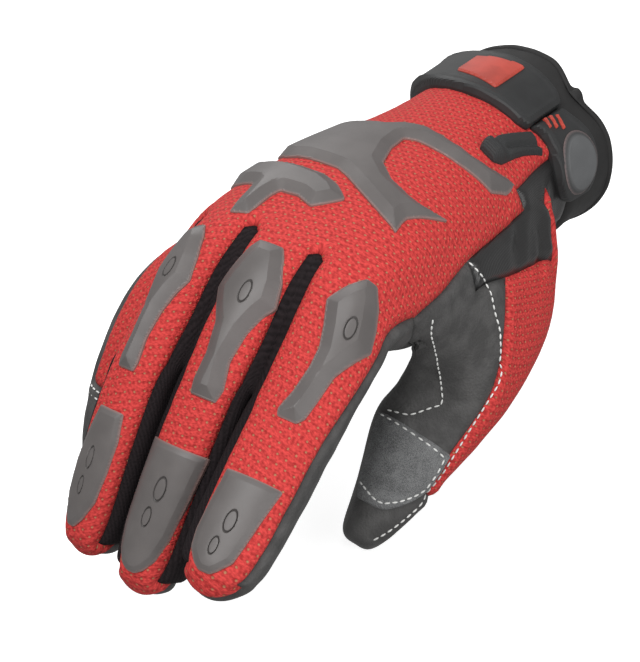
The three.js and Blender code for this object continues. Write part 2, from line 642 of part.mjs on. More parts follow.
// A strip laid on the glove: rows of points across, each at its height over the cloth, with its underside sunk
// into the cloth, where the swollen outside then trims it.
const SUNK = 1.4;
function strip(rows) {
  const [count, width] = [rows.length, rows[0].length];
  const top = rows.flat().map(({ at, normal, height }) => along(at, normal, height));
  const under = rows.flat().map(({ at, normal }) => along(at, normal, -SUNK));
  const n = count * width;
  const triangles = [];
  for (let i = 0; i + 1 < count; i += 1) {
    for (let j = 0; j + 1 < width; j += 1) {
      const [a, b, c, d] = [i * width + j, (i + 1) * width + j, (i + 1) * width + j + 1, i * width + j + 1];
      triangles.push(...splitQuad(a, b, c, d), ...splitQuad(n + a, n + d, n + c, n + b));
    }
  }
  const round = [];
  for (let i = 0; i < count - 1; i += 1) round.push(i * width);
  for (let j = 0; j < width - 1; j += 1) round.push((count - 1) * width + j);
  for (let i = count - 1; i > 0; i -= 1) round.push(i * width + width - 1);
  for (let j = width - 1; j > 0; j -= 1) round.push(j);
  round.forEach((a, k) => {
    const b = round[(k + 1) % round.length];
    triangles.push(...splitQuad(a, n + a, n + b, b));
  });
  const solid = solidOf(flat([...top, ...under]), triangles);
  return solid.volume() > 0 ? solid : solidOf(flat([...top, ...under]), triangles.reverse());
}

// The raised section of a guard: shares of the way across, and of the full height there.
const ACROSS = [0, 0.16, 0.5, 0.84, 1];
const RELIEF = [0.35, 0.85, 1, 0.85, 0.35];
const GUARD_HEIGHT = 2.6;

const fingerTouch = (f, s, offset) => {
  const at = lineAt(LINES[f], s);
  const start = s < 0 ? along(at.p, at.direction, s) : at.p;
  const over = along(along(start, at.sideways, offset), at.normal, FINGERS[f].rise);
  return touch(over, at.normal.clone().negate());
};

function fingerGuard(f, table) {
  return strip(table.map(([s, left, right], i) => {
    const end = i === 0 || i === table.length - 1;
    return ACROSS.map((share, k) => ({
      ...fingerTouch(f, s, left + (right - left) * share),
      height: GUARD_HEIGHT * (end ? RELIEF[0] : RELIEF[k]),
    }));
  }));
}

// Guards on three fingers, one row for each section: how far past the knuckle, and its left and right edge
// beside the finger's middle line. The little finger has none.
const KNUCKLE_GUARDS = {
  ring: [[-2, -7, -0.5], [2, -8.5, 2.4], [9, -9, 4.9], [16, -9.5, 6.2], [21, -7, 4.4], [27, -4, 3.2],
    [36, -3.3, 2.4], [43, -3.6, 3], [46, -3, 2.6]],
  middle: [[0, -4.5, 3.5], [3, -6.2, 5.6], [10, -8.2, 8.6], [17, -10, 9.7], [21, -8, 7.8], [27, -4.2, 6],
    [36, -2.6, 5], [44, -3, 6.4], [48, -2.2, 5.6]],
  index: [[-2, 4, 7.4], [3, 0.6, 10.4], [9, -2.6, 12.4], [16, 0, 14], [22, 1.6, 11.4], [28, 1.6, 8.8],
    [36, 0.4, 7.7], [42, -1.4, 6.6], [44, -0.6, 5]],
};
const TIP_GUARDS = {
  ring: [[58, -4, 4.6], [66, -6, 5.6], [76, -8, 5.2], [85, -7.6, 4.2], [91, -5.5, 1.6], [94, -3.8, -0.8]],
  middle: [[63, -9.8, 9], [76, -9.6, 8.1], [88, -8.8, 7], [95, -7, 5.2], [98.5, -4.5, 2.8], [100, -2, 0.6]],
  index: [[62, -7.4, 9.4], [72, -8, 7.6], [80, -8.2, 6.4], [85, -7.4, 5.4], [88.5, -4.6, 2.6], [90, -2.5, 0.8]],
};
FINGERS.forEach(({ name }, f) => {
  if (!KNUCKLE_GUARDS[name]) return;
  addSolid(`knuckle_guard_${name}`, 'guard', fingerGuard(f, KNUCKLE_GUARDS[name]).subtract(skin));
  addSolid(`fingertip_guard_${name}`, 'guard', fingerGuard(f, TIP_GUARDS[name]).subtract(skin));
});

// Guards on the back of the hand, one row for each section: x and y of its upper and of its lower edge, as
// seen from above.
const downTouch = (x, y) => touch(vec(x, y, 80), vec(0, 0, -1));
function backGuard(table) {
  return strip(table.map(([x0, y0, x1, y1], i) => {
    const end = i === 0 || i === table.length - 1;
    return ACROSS.map((share, k) => ({
      ...downTouch(x0 + (x1 - x0) * share, y0 + (y1 - y0) * share),
      height: GUARD_HEIGHT * (end ? RELIEF[0] : RELIEF[k]),
    }));
  }));
}
const UPPER_BODY = [
  [-32.5, -64, -36.5, -80], [-29, -71.5, -35.5, -92], [-22, -78.5, -29, -106], [-14, -79.5, -20, -113],
  [-7, -78, -9, -114], [2, -80, 0, -114], [4, -92, 5, -116], [8, -102, 11, -119], [15, -107.5, 18, -122],
  [23, -109.5, 24, -124], [27.5, -114, 28, -125], [28.4, -121, 29.6, -126],
];
const UPPER_FORK = [
  [21, -109.5, 24, -121], [26, -109, 28, -118], [30, -107, 29.6, -113], [33, -104.2, 32.4, -106.5],
];
const UPPER_ARM = [
  [-12, -79.6, -11, -90], [-8, -78.5, -4, -88], [-4, -74.5, 2, -84], [2, -72, 6, -82], [12, -72.8, 12, -81.5],
  [20, -72.3, 20, -80.5], [25, -69.5, 26, -78.5], [28, -65.5, 30.2, -77], [30, -62.5, 31.2, -70],
];
const LOWER_BODY = [
  [-37.5, -90, -40.5, -101], [-35, -103, -38.5, -113], [-28, -112, -33, -124], [-20, -117.5, -24, -131],
  [-12, -119, -13.5, -134], [-6, -119.2, -6, -133.5], [0, -119.4, 0, -132.8], [6, -121.5, 6.3, -135],
  [9.5, -124, 9, -131.5], [12, -126, 11.5, -127.5],
];
const LOWER_PRONG = [
  [-17, -130, -5, -130], [-15, -137, -6.5, -137], [-14, -143, -6.6, -143], [-12.8, -148, -7, -146.5],
];
const upperGuard = [UPPER_BODY, UPPER_FORK, UPPER_ARM].map(backGuard).reduce((all, arm) => all.add(arm));
const lowerGuard = [LOWER_BODY, LOWER_PRONG].map(backGuard).reduce((all, arm) => all.add(arm));
addSolid('back_guard_upper', 'guard', upperGuard.subtract(skin));
addSolid('back_guard_lower', 'guard', lowerGuard.subtract(skin));

// Pieces round the wrist, one row for each angle from the back toward the thumb, in degrees, with the y of the
// edge toward the opening and of the edge toward the fingers. A fourth number makes the piece thicker there.
const WRIST_AXIS = { x: -2, z: 1, reach: 60 };
function wristTouch(angle, y) {
  const outward = vec(Math.sin(radians(angle)), 0, Math.cos(radians(angle)));
  return touch(along(vec(WRIST_AXIS.x, y, WRIST_AXIS.z), outward, WRIST_AXIS.reach), outward.clone().negate());
}
function wristBand(table, height, relief) {
  const shares = relief.map((_, k) => k / (relief.length - 1));
  return strip(table.map(([angle, open, fingers, extra = 0]) => shares.map((share, k) => ({
    ...wristTouch(angle, open + (fingers - open) * share),
    height: (height + extra) * relief[k],
  }))));
}
const FLAT = [1, 1];
const EDGED = [0.7, 1, 1, 0.7];
const STRAP_HEIGHT = 3.4;
const STRAP = [
  [-104, -9, -20, 1.6], [-92, -7.5, -21, 2.6], [-80, -7, -24, 3], [-68, -8, -28, 2.8], [-56, -9.5, -31.5, 2.2],
  [-44, -11.5, -35, 1.4], [-32, -12.8, -38.5, 0.6], [-20, -14, -41], [-8, -15, -42.5], [4, -15.6, -43],
  [16, -16.4, -42.8], [26, -17.4, -43], [35, -19, -42.8], [40.4, -21.5, -41],
];
const BADGE = [[-17, -21.5, -33.5], [-9, -21, -35], [-2, -20.8, -36], [5, -20.4, -37], [12.5, -20.2, -38]];
const TAB = [
  [41.2, -22.2, -39], [47, -20.5, -37.2], [54, -18, -36.6], [60, -16.4, -37], [67, -15.6, -37.6],
  [74, -15.6, -37.6], [81, -16.6, -36.8], [88, -18.6, -35], [93.5, -21.5, -32],
];
const PAD = { angle: 72.5, y: -26.6, spread: 17.5, half: 9, steps: 6 };
const padRows = Array.from({ length: PAD.steps + 1 }, (_, i) => {
  const t = (2 * i) / PAD.steps - 1;
  const half = PAD.half * Math.max(Math.sqrt(1 - t * t), 0.25);
  return [PAD.angle + PAD.spread * t, PAD.y + half, PAD.y - half];
});
const strap = wristBand(STRAP, STRAP_HEIGHT, EDGED);
const strapOver = wristBand(STRAP, STRAP_HEIGHT + SEAT_GAP, EDGED);
const tab = wristBand(TAB, STRAP_HEIGHT, EDGED);
const tabOver = wristBand(TAB, STRAP_HEIGHT + SEAT_GAP, EDGED);
addSolid('wrist_strap', 'rubber', strap.subtract(skin));
const badge = wristBand(BADGE, STRAP_HEIGHT + 1.3, FLAT);
addSolid('strap_badge', 'mesh', badge.subtract(strapOver).subtract(skin));
addSolid('strap_tab', 'rubber', tab.subtract(skin));
addSolid('strap_pad', 'pad', wristBand(padRows, STRAP_HEIGHT + 1.9, EDGED).subtract(tabOver).subtract(skin));

// The pull loop hangs out below the strap; its rows give y and the left and right edge in x.
const LOOP = [
  [-43.4, 20, 25.6], [-48, 19, 24.8], [-53, 18.2, 24.4], [-58.5, 17.4, 24.6], [-63, 17.2, 24.8], [-66.8, 19, 23],
];
const LOOP_HEIGHT = 3;
const loop = strip(LOOP.map(([y, left, right]) => [0, 0.25, 0.75, 1].map((share, k) => ({
  ...downTouch(right + (left - right) * share, y), height: LOOP_HEIGHT * [0.6, 1, 1, 0.6][k],
}))));
addSolid('pull_loop', 'rubber', loop.subtract(strapOver).subtract(tabOver).subtract(skin));

// The patch on the thumb's tip: share of the way along the thumb's rings, and the angles from the nail that it
// spans, in degrees.
const TIP_PATCH = [
  [1, 202, 316], [1.5, 200, 320], [2, 200, 319], [2.4, 202, 304], [2.7, 207, 286], [2.85, 216, 264],
];
const PATCH_HEIGHT = 1.2;
function thumbTouch(t, angle) {
  const [near, far] = [THUMB_FRAMES[Math.floor(t)], THUMB_FRAMES[Math.ceil(t)]];
  const blend = (key) => mix(near[key], far[key], t - Math.floor(t));
  const [sin, cos] = [Math.sin(radians(angle)), Math.cos(radians(angle))];
  const outward = blend('nail').multiplyScalar(cos).addScaledVector(blend('outer'), sin).normalize();
  return touch(along(blend('centre'), outward, 24), outward.clone().negate());
}
const patch = strip(TIP_PATCH.map(([t, from, to]) => [0, 0.25, 0.5, 0.75, 1].map((share) => ({
  ...thumbTouch(t, from + (to - from) * share), height: PATCH_HEIGHT,
}))));
addSolid('thumb_tip_patch', 'suede', patch.subtract(skin));

export default glove;
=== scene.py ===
"""Work glove for the right hand, dressed for Blender.

The glove keeps the form that a hand gives it: back up, fingers half bent, thumb hanging beside. Its cloth
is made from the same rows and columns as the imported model, only finer. The guards, the strap and the
stitches are then laid on that cloth, each from its outline. Tables are in millimetres; finished meshes are
in metres.
"""

import math
from collections import namedtuple
from functools import lru_cache

import bmesh
import bpy
import numpy as np
from mathutils import Matrix, Vector, noise
from mathutils.bvhtree import BVHTree
from mathutils.geometry import delaunay_2d_cdt
from mathutils.kdtree import KDTree


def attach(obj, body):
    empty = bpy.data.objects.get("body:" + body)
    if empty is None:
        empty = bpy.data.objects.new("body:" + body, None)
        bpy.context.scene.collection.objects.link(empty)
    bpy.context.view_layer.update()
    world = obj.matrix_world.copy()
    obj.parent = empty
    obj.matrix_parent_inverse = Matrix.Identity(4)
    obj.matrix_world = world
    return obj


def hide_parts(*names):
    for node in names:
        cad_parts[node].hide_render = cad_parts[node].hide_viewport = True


bl_info = {
    "name": "Work glove",
    "version": (1, 0, 0),
    "blender": (4, 5, 0),
    "location": "View3D > Sidebar > Glove",
    "description": "Builds a right-hand work glove with guards, strap and stitching",
    "category": "Add Mesh",
}

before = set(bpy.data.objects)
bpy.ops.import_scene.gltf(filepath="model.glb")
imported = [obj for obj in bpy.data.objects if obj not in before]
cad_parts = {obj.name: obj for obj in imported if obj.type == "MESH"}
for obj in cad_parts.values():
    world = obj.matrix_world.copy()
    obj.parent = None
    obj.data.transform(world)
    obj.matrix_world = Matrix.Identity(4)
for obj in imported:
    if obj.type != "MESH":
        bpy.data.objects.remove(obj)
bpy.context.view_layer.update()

MM = 0.001
# The tables' zero, moved here to the middle of the wrist opening.
ORIGIN = Vector((-2.0, -4.0, 1.25))


# Sizes and colours that a user would change

def length(name, description, default, low=0.0, high=20.0):
    """A length in millimetres."""
    return bpy.props.FloatProperty(
        name=name, description=description, default=default, min=low, max=high, precision=2
    )


def colour(name, description, default):
    return bpy.props.FloatVectorProperty(
        name=name, description=description, default=default, subtype="COLOR", size=3, min=0.0, max=1.0
    )


class ClothSizes(bpy.types.PropertyGroup):
    wall: length("Wall", "Thickness of a cloth or leather panel in mm", 1.7)
    seam_depth: length("Seam depth", "How far a seam sinks between its two panels in mm", 0.9)
    seam_width: length("Seam width", "Half width of the hollow at a seam in mm", 1.1)
    wrinkle: length("Wrinkles", "Height of the small unevenness of the cloth in mm", 0.25)
    hem: length("Hem", "Radius of the rolled edge at the wrist opening in mm", 1.5)


class GuardSizes(bpy.types.PropertyGroup):
    edge: length("Edge", "Height of a guard's edge above the cloth in mm", 0.9)
    rise: length("Rise", "Height of a guard's top above its edge in mm", 1.6)
    bevel: length("Bevel", "Width of the sloped border of a guard in mm", 3.0)
    strap: length("Strap", "Thickness of the wrist strap in mm", 3.2)


class StitchSizes(bpy.types.PropertyGroup):
    pitch: length("Pitch", "Distance from one stitch to the next in mm", 2.5)
    length: length("Length", "Length of a stitch in mm", 1.9)
    radius: length("Radius", "Radius of the thread in mm", 0.3)


class GloveColours(bpy.types.PropertyGroup):
    red: colour("Red fabric", "Ribbed fabric on the back", (0.53, 0.033, 0.032))
    leather: colour("Leather", "Palm and finger sides", (0.059, 0.0575, 0.0565))
    knit: colour("Knit", "Strips between the fingers", (0.014, 0.0105, 0.0115))
    neoprene: colour("Cuff", "Soft cuff at the wrist", (0.013, 0.0125, 0.0125))
    guard: colour("Guards", "Moulded guards", (0.106, 0.096, 0.093))
    strap: colour("Strap", "Strap and pull loop", (0.018, 0.0185, 0.019))
    patch: colour("Patch", "Raised patch and bars on the strap", (0.42, 0.05, 0.032))
    suede: colour("Suede", "Patch on the thumb", (0.139, 0.141, 0.142))
    thread: colour("Thread", "Stitching", (0.72, 0.72, 0.7))


def sizes(name):
    return getattr(bpy.context.scene, name)


# The glove's rows and columns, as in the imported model

Finger = namedtuple("Finger", "name x y z splay slope curl roll length half rise extra")
FINGERS = (
    Finger("little", -41.5, -139, 17.5, -3, 43, 34, -22, 84, 10.4, 10.4, 0),
    Finger("ring", -16.4, -156, 32, 1.2, 41, 20, -3, 100, 11.1, 11.8, 0),
    Finger("middle", 7.3, -153, 34, 2.3, 43.7, 9.4, 5, 104, 11.3, 12.2, 0),
    Finger("index", 31, -148.5, 28.6, 5.2, 37, 0.5, 12, 92, 12.2, 12.2, 4.5),
)
HandRow = namedtuple("HandRow", "y half top bottom shift square even droop back edge lean")
HAND = (
    HandRow(-4, 33.4, 34, -29.5, -1.5, 2.0, 0, 0, 0, 0.27, 0),
    HandRow(-13, 32.8, 33.4, -29, -1.6, 2.0, 0, 0, 0, 0.27, 0),
    HandRow(-28, 32, 33, -28.5, -1.8, 2.0, 0, 0, 0, 0.27, 0),
    HandRow(-44, 32.5, 33, -28.5, -1.7, 2.05, 0.05, 1, 0, 0.27, 0),
    HandRow(-62, 35.5, 33.8, -28, -1.4, 2.1, 0.15, 4, 0, 0.27, 0),
    HandRow(-82, 39, 35.5, -26, -1.7, 2.2, 0.35, 10, 2, 0.25, 0),
    HandRow(-102, 42, 37.5, -22, -2.4, 2.3, 0.6, 18, 8, 0.2, 2),
    HandRow(-120, 44.5, 38, -17, -3, 2.4, 0.8, 27, 16, 0.08, 5),
    HandRow(-137, 46, 37, -11, -3.6, 2.5, 0.95, 35, 24, -0.05, 8),
    HandRow(-152, 47, 34, -4, -4, 2.5, 1, 42, 32, -0.05, 12),
)
CROTCH = 40
UNDER_VALLEY = 0.35
Turn = namedtuple("Turn", "along thick finger valley edge")
TURNS = (
    Turn(10, 0.86, 0.4, 1.6, 92),
    Turn(20, 0.76, 0.75, 3, 84),
    Turn(30, 0.7, 0.95, 3.8, 74),
    Turn(CROTCH, 0.66, 1, 4.4, 66),
)
TubeRing = namedtuple("TubeRing", "share size")
TUBE = (
    TubeRing(0.18, 1.0), TubeRing(0.37, 1.0), TubeRing(0.56, 0.99), TubeRing(0.73, 0.97),
    TubeRing(0.86, 0.9), TubeRing(0.95, 0.75),
)
ThumbRing = namedtuple("ThumbRing", "back pad thick")
THUMB = (
    ThumbRing((47, -98, -46.5), (17.5, -108, -30.5), 14.5),
    ThumbRing((43.4, -109.5, -54.6), (17, -118, -40), 13.4),
    ThumbRing((40.5, -121.5, -61.5), (20, -128.2, -50.5), 12.2),
    ThumbRing((37.8, -131.8, -67.5), (22.5, -137, -58.8), 10.6),
    ThumbRing((34.8, -140, -71), (23.8, -143.6, -65), 8),
)
Ball = namedtuple("Ball", "share bulge")
THUMB_BALL = (Ball(0.34, 11), Ball(0.68, 8.5))
BALL_EVEN = 0.8
BALL_OUTWARD = Vector((0.85, 0.25, -0.35)).normalized()
Saddle = namedtuple("Saddle", "share forward")
SADDLE = (Saddle(0.25, 0.8), Saddle(0.5, 1.2), Saddle(0.75, 0.8))

PALM_CENTRE_X = -5
KNUCKLE_HALF = 44.6
STRIP_HALF = 8.2
BEND_LENGTH = 8
CURL_AT = 50
CURL_LENGTH = 12
KNUCKLE_SLOPE = 10
KNUCKLE_VALLEY = 0.5
FINGER_TOP = (-50, -17, 17, 50)
FINGER_SIDE = (70, 90, 110)
FINGER_SQUARE = 2.3
PAD_LIFT = 0.4
TIP_DOME = 0.55
DOME_SPREAD = 1.12
THUMB_TIP_DOME = 0.5
THUMB_TURN = -12
THUMB_TIP_START = 14
THUMB_SQUARE = 2.2
THUMB_BACK_END = 5
# Degrees by which the seam beside the thumb's back moves toward the nail at each ring.
SEAM_SLIDES = (2, 9, 20, 9, 0)
SLIDE_REACH = 4
# Where the thumb's ball starts, by its place round the thumb's root: nearer the root beside the gusset.
GUSSET_SHARES = {13: 0.12, 14: 0.17, 15: 0.2, 0: 0.25, 1: 0.3}
SIDE_HEIGHTS = (0.27, 0, -0.27)
SIDE_FOOT = -0.53
EDGE_ANGLE = 64
EDGE_SHARE = 0.918
DROOP_FROM = 0.1
PALM_DROOP = 0.4
INDEX_EDGE = 62
LEATHER_FROM = 2
LITTLE_LEATHER_ROW = 8
TONGUE_PINCH = 0.45
TONGUE_RISE = 0.32
# Share by which the knit narrows below the knuckles, ring by ring down the fingers.
FINGER_PINCH = (0.34, 0.36, 0.3, 0.15)
CUFF_ROWS = 2
GUSSET_END_ROW = 4
HOLE_ROWS = (3, 8)
Notch = namedtuple("Notch", "x half depth")
NOTCH = Notch(20, 8, 7)
Web = namedtuple("Web", "first last rings rounds")
WEB = Web(6, 11, 4, 6)

Column = namedtuple("Column", "f j place")
OVER_FINGERS = [(f, j) for f in range(4) for j in range(5 if f < 3 else 4)]
ACROSS = len(OVER_FINGERS)
THUMB_SIDE = ACROSS
BOTTOM_FIRST = ACROSS + 3
LITTLE_SIDE = BOTTOM_FIRST + ACROSS
HOLE_COLUMNS = (THUMB_SIDE, BOTTOM_FIRST)
COLUMNS = (
    [Column(f, j, "top") for f, j in OVER_FINGERS]
    + [Column(3, k, "thumb side") for k in range(3)]
    + [Column(f, j, "bottom") for f, j in reversed(OVER_FINGERS)]
    + [Column(0, k, "little side") for k in (2, 1, 0)]
)


def column_of(f, j, place):
    return f * 5 + j if place == "top" else BOTTOM_FIRST + ACROSS - 1 - (f * 5 + j)


def is_valley(column):
    return column.j == 4 and not column.place.endswith("side")


def rounded(sine, power):
    return math.copysign(abs(sine) ** (2 / power), sine)


def other_side(share, power):
    return max(0.0, 1 - abs(share) ** power) ** (1 / power)


def logistic(t):
    return 1 / (1 + math.exp(-t))


LinePoint = namedtuple("LinePoint", "p direction normal sideways")


def back_line(finger):
    """The line along a finger's back, one point each millimetre from the knuckle."""
    side = math.radians(finger.splay)
    line = []
    p = Vector((finger.x, finger.y, finger.z))
    for s in range(finger.length + 3):
        turned = (finger.slope - KNUCKLE_SLOPE) * logistic((s - 3) / BEND_LENGTH)
        slope = math.radians(KNUCKLE_SLOPE + turned + finger.curl * logistic((s - CURL_AT) / CURL_LENGTH))
        c, n = math.cos(slope), math.sin(slope)
        direction = Vector((math.sin(side) * c, -math.cos(side) * c, -n))
        roll = Matrix.Rotation(-math.radians(finger.roll), 3, direction)
        normal = roll @ Vector((math.sin(side) * n, -math.cos(side) * n, c))
        line.append(LinePoint(p.copy(), direction, normal, normal.cross(direction)))
        p = p + direction
    return line


LINES = [back_line(finger) for finger in FINGERS]


def line_at(line, s):
    at = min(max(s, 0), len(line) - 1.001)
    a, b, t = line[int(at)], line[int(at) + 1], at % 1
    return LinePoint(
        a.p.lerp(b.p, t),
        a.direction.lerp(b.direction, t).normalized(),
        a.normal.lerp(b.normal, t).normalized(),
        a.sideways.lerp(b.sideways, t).normalized(),
    )


def finger_point(f, s, angle, size=1.0):
    finger = FINGERS[f]
    at = line_at(LINES[f], s)
    x = rounded(math.sin(math.radians(angle)), FINGER_SQUARE)
    z = rounded(math.cos(math.radians(angle)), FINGER_SQUARE)
    centre = at.p - at.normal * finger.rise * (size + PAD_LIFT * (1 - size))
    half = finger.half * size + (finger.extra * (1 - s / finger.length) if x > 0 else 0)
    return centre + at.sideways * half * x + at.normal * finger.rise * size * z


def share_across(column):
    """How far across the knuckle row a column stands, from -1 to 1."""
    def at(g, k):
        return (FINGERS[g].x + (k * 2 / 3 - 1) * STRIP_HALF - PALM_CENTRE_X) / KNUCKLE_HALF
    if column.j < 4:
        return at(column.f, column.j)
    return (at(column.f, 3) + at(column.f + 1, 0)) / 2


def section_shares(column, row):
    if column.place.endswith("side"):
        on_thumb_side = row.edge + (SIDE_FOOT - row.edge) * (column.j / 3)
        height = on_thumb_side if column.place == "thumb side" else SIDE_HEIGHTS[column.j]
        reach = other_side(height, row.square)
        return (reach if column.place == "thumb side" else -reach), height
    u = share_across(column)
    x = (1 - row.even) * math.sin(math.radians(EDGE_ANGLE * u)) + row.even * EDGE_SHARE * u
    return x, other_side(x, row.square) * (1 if column.place == "top" else -1)


def hand_point(row, column):
    x, z = section_shares(column, row)
    at_x = row.shift + row.half * x
    notch = 0.0
    if row is HAND[0] and z > 0:
        notch = NOTCH.depth * math.exp(-(((at_x - NOTCH.x) / NOTCH.half) ** 2))
    middle = (row.top + row.bottom) / 2
    hang = max(0, -x - DROOP_FROM) ** 2
    droop = row.droop * hang * (PALM_DROOP + (1 - PALM_DROOP) * (z + 1) / 2)
    y = row.y + row.back * hang + row.lean * (1 - z) / 2 - notch
    return Vector((at_x, y, middle + (row.top - row.bottom) / 2 * z - droop))


def angle_on(column, edge):
    if column.place == "top":
        return FINGER_TOP[column.j]
    if column.place == "bottom":
        return 180 - FINGER_TOP[column.j]
    if column.place == "thumb side":
        return edge + (180 - FINGER_TOP[3] - edge) * column.j / 3
    return -FINGER_SIDE[column.j]


def turn_point(turn, column):
    """The knuckle row's point carried down its finger's line, and mixed with the finger's own form."""
    start = LINES[column.f][0]
    offset = hand_point(HAND[-1], column) - start.p
    at = line_at(LINES[column.f], turn.along)
    ahead = at.p + at.direction * offset.dot(start.direction) * (1 - turn.along / CROTCH)
    over = ahead + at.sideways * offset.dot(start.sideways)
    hand = over + at.normal * offset.dot(start.normal) * turn.thick
    return hand.lerp(finger_point(column.f, turn.along, angle_on(column, turn.edge)), turn.finger)


class Grid:
    """The grid of the glove's outside: points, and quads that each name their panel."""

    def __init__(self):
        self.points = []
        self.quads = []
        self.panels = []

    def add(self, p):
        self.points.append(Vector(p))
        return len(self.points) - 1

    def quad(self, a, b, c, d, panel):
        self.quads.append((a, b, c, d))
        self.panels.append(panel)

    def band(self, near, far, panel_at):
        for k, a in enumerate(near):
            after = (k + 1) % len(near)
            self.quad(a, far[k], far[after], near[after], panel_at(k))

    def dome(self, ring, wide, deep, centre, outward, height, panel_at):
        """Closes a ring with a domed grid, wide quads across and deep quads down."""
        rows = [[None] * (wide + 1) for _ in range(deep + 1)]
        half = wide + deep
        for i in range(wide + 1):
            rows[0][i] = ring[i]
            rows[deep][wide - i] = ring[half + i]
        for d in range(1, deep):
            rows[d][wide] = ring[wide + d]
            rows[deep - d][0] = ring[half + wide + d]
        points = self.points
        for d in range(1, deep):
            for i in range(1, wide):
                down = points[rows[0][i]].lerp(points[rows[deep][i]], d / deep)
                over = points[rows[d][0]].lerp(points[rows[d][wide]], i / wide)
                reach = max(abs(2 * i / wide - 1), abs(2 * d / deep - 1))
                spread = centre.lerp(down.lerp(over, 0.5), DOME_SPREAD)
                rows[d][i] = self.add(spread + outward * height * math.sqrt(1 - 0.75 * reach * reach))
        for d in range(deep):
            for i in range(wide):
                self.quad(rows[d][i], rows[d + 1][i], rows[d + 1][i + 1], rows[d][i + 1], panel_at(d))


def hand_rings(grid):
    rings = [[grid.add(hand_point(row, column)) for column in COLUMNS] for row in HAND]
    points = grid.points
    for turn in TURNS:
        ring = [None if is_valley(column) else grid.add(turn_point(turn, column)) for column in COLUMNS]
        for c, column in enumerate(COLUMNS):
            if is_valley(column):
                middle = points[ring[c - 1]].lerp(points[ring[c + 1]], 0.5)
                normal = line_at(LINES[column.f], turn.along).normal
                depth = -turn.valley if column.place == "top" else turn.valley * UNDER_VALLEY
                ring[c] = grid.add(middle + normal * depth)
        rings.append(ring)
    knuckles = rings[len(HAND) - 1]
    for c, column in enumerate(COLUMNS):
        if is_valley(column) and column.place == "top":
            points[knuckles[c]].z -= KNUCKLE_VALLEY
            points[knuckles[c]] = points[knuckles[c]].lerp(points[rings[len(HAND) - 2][c]], TONGUE_RISE)
            for side in (c - 1, c + 1):
                points[knuckles[side]] = points[knuckles[side]].lerp(points[knuckles[c]], TONGUE_PINCH)
                for ring, share in zip(rings[len(HAND):], FINGER_PINCH):
                    points[ring[side]] = points[ring[side]].lerp(points[ring[c]], share)
    return rings


def hand_panel(row, c):
    if row < CUFF_ROWS:
        return "cuff"
    if row >= LITTLE_LEATHER_ROW and c == 0:
        return "palm_panel"
    if c < THUMB_SIDE - 1:
        in_valley = is_valley(COLUMNS[c]) or is_valley(COLUMNS[c + 1])
        return f"fourchette_{COLUMNS[c].f + 1}" if in_valley and row >= len(HAND) - 1 else "back_panel"
    if row < GUSSET_END_ROW and c < BOTTOM_FIRST:
        return "wrist_gusset"
    return "back_panel" if c == THUMB_SIDE - 1 else "palm_panel"


def hand_quads(grid, rings):
    for row in range(len(rings) - 1):
        for c in range(len(COLUMNS)):
            if HOLE_ROWS[0] <= row < HOLE_ROWS[1] and HOLE_COLUMNS[0] <= c < HOLE_COLUMNS[1]:
                continue
            after = (c + 1) % len(COLUMNS)
            grid.quad(rings[row][c], rings[row + 1][c], rings[row + 1][after], rings[row][after],
                      hand_panel(row, c))


def finger_roots(grid, last):
    """The first ring of each finger, from its own columns and from the strip between it and its neighbour."""
    sides = []
    for f in range(3):
        left = [grid.add(finger_point(f, CROTCH + 3, angle)) for angle in FINGER_SIDE]
        right = [grid.add(finger_point(f + 1, CROTCH + 3, -angle)) for angle in FINGER_SIDE]
        top = column_of(f, 4, "top")
        bottom = column_of(f, 4, "bottom")
        direction = line_at(LINES[f], CROTCH).direction
        saddle = [
            grid.add(grid.points[last[top]].lerp(grid.points[last[bottom]], share) + direction * forward)
            for share, forward in SADDLE
        ]
        l = [last[top - 1], *left, last[bottom + 1]]
        m = [last[top], *saddle, last[bottom]]
        r = [last[top + 1], *right, last[bottom - 1]]
        for k in range(4):
            grid.quad(l[k], l[k + 1], m[k + 1], m[k], f"fourchette_{f + 1}")
            grid.quad(m[k], m[k + 1], r[k + 1], r[k], f"fourchette_{f + 1}")
        sides.append((left, right))
    roots = []
    for f in range(4):
        thumb_side = [last[THUMB_SIDE + k] for k in range(3)] if f == 3 else sides[f][0]
        little_side = [last[LITTLE_SIDE + k] for k in range(3)] if f == 0 else sides[f - 1][1][::-1]
        over = [last[column_of(f, j, "top")] for j in range(4)]
        under = [last[column_of(f, j, "bottom")] for j in (3, 2, 1, 0)]
        roots.append([*over, *thumb_side, *under, *little_side])
    return roots


def finger_angles(f):
    index_side = [INDEX_EDGE + (180 - FINGER_TOP[3] - INDEX_EDGE) * k / 3 for k in range(3)]
    return [
        *FINGER_TOP,
        *(index_side if f == 3 else FINGER_SIDE),
        *[180 - angle for angle in reversed(FINGER_TOP)],
        *[-angle for angle in reversed(FINGER_SIDE)],
    ]


def finger_panel(f, k, band_number):
    if f == 0 and (k == 0 or (k == 1 and band_number >= LEATHER_FROM)):
        return "palm_panel"
    if k < 3 or (f == 3 and k == 3):
        return "back_panel"
    if k < 7:
        return "palm_panel" if f == 3 else f"fourchette_{f + 1}"
    return "palm_panel" if k < 10 or f == 0 else f"fourchette_{f}"


def finger_tube(grid, root, f):
    finger = FINGERS[f]
    near = root
    for number, (share, size) in enumerate(TUBE):
        s = CROTCH + share * (finger.length - CROTCH)
        ring = [grid.add(finger_point(f, s, angle, size)) for angle in finger_angles(f)]
        grid.band(near, ring, lambda k, n=number: finger_panel(f, k, n))
        near = ring
    at = line_at(LINES[f], CROTCH + TUBE[-1].share * (finger.length - CROTCH))
    centre = at.p - at.normal * finger.rise
    height = finger.half * TUBE[-1].size * TIP_DOME
    grid.dome(near, 3, 4, centre, at.direction, height,
              lambda d: "back_panel" if d < 2 and f > 0 else "palm_panel")


ThumbFrame = namedtuple("ThumbFrame", "centre wide thick direction nail outer")


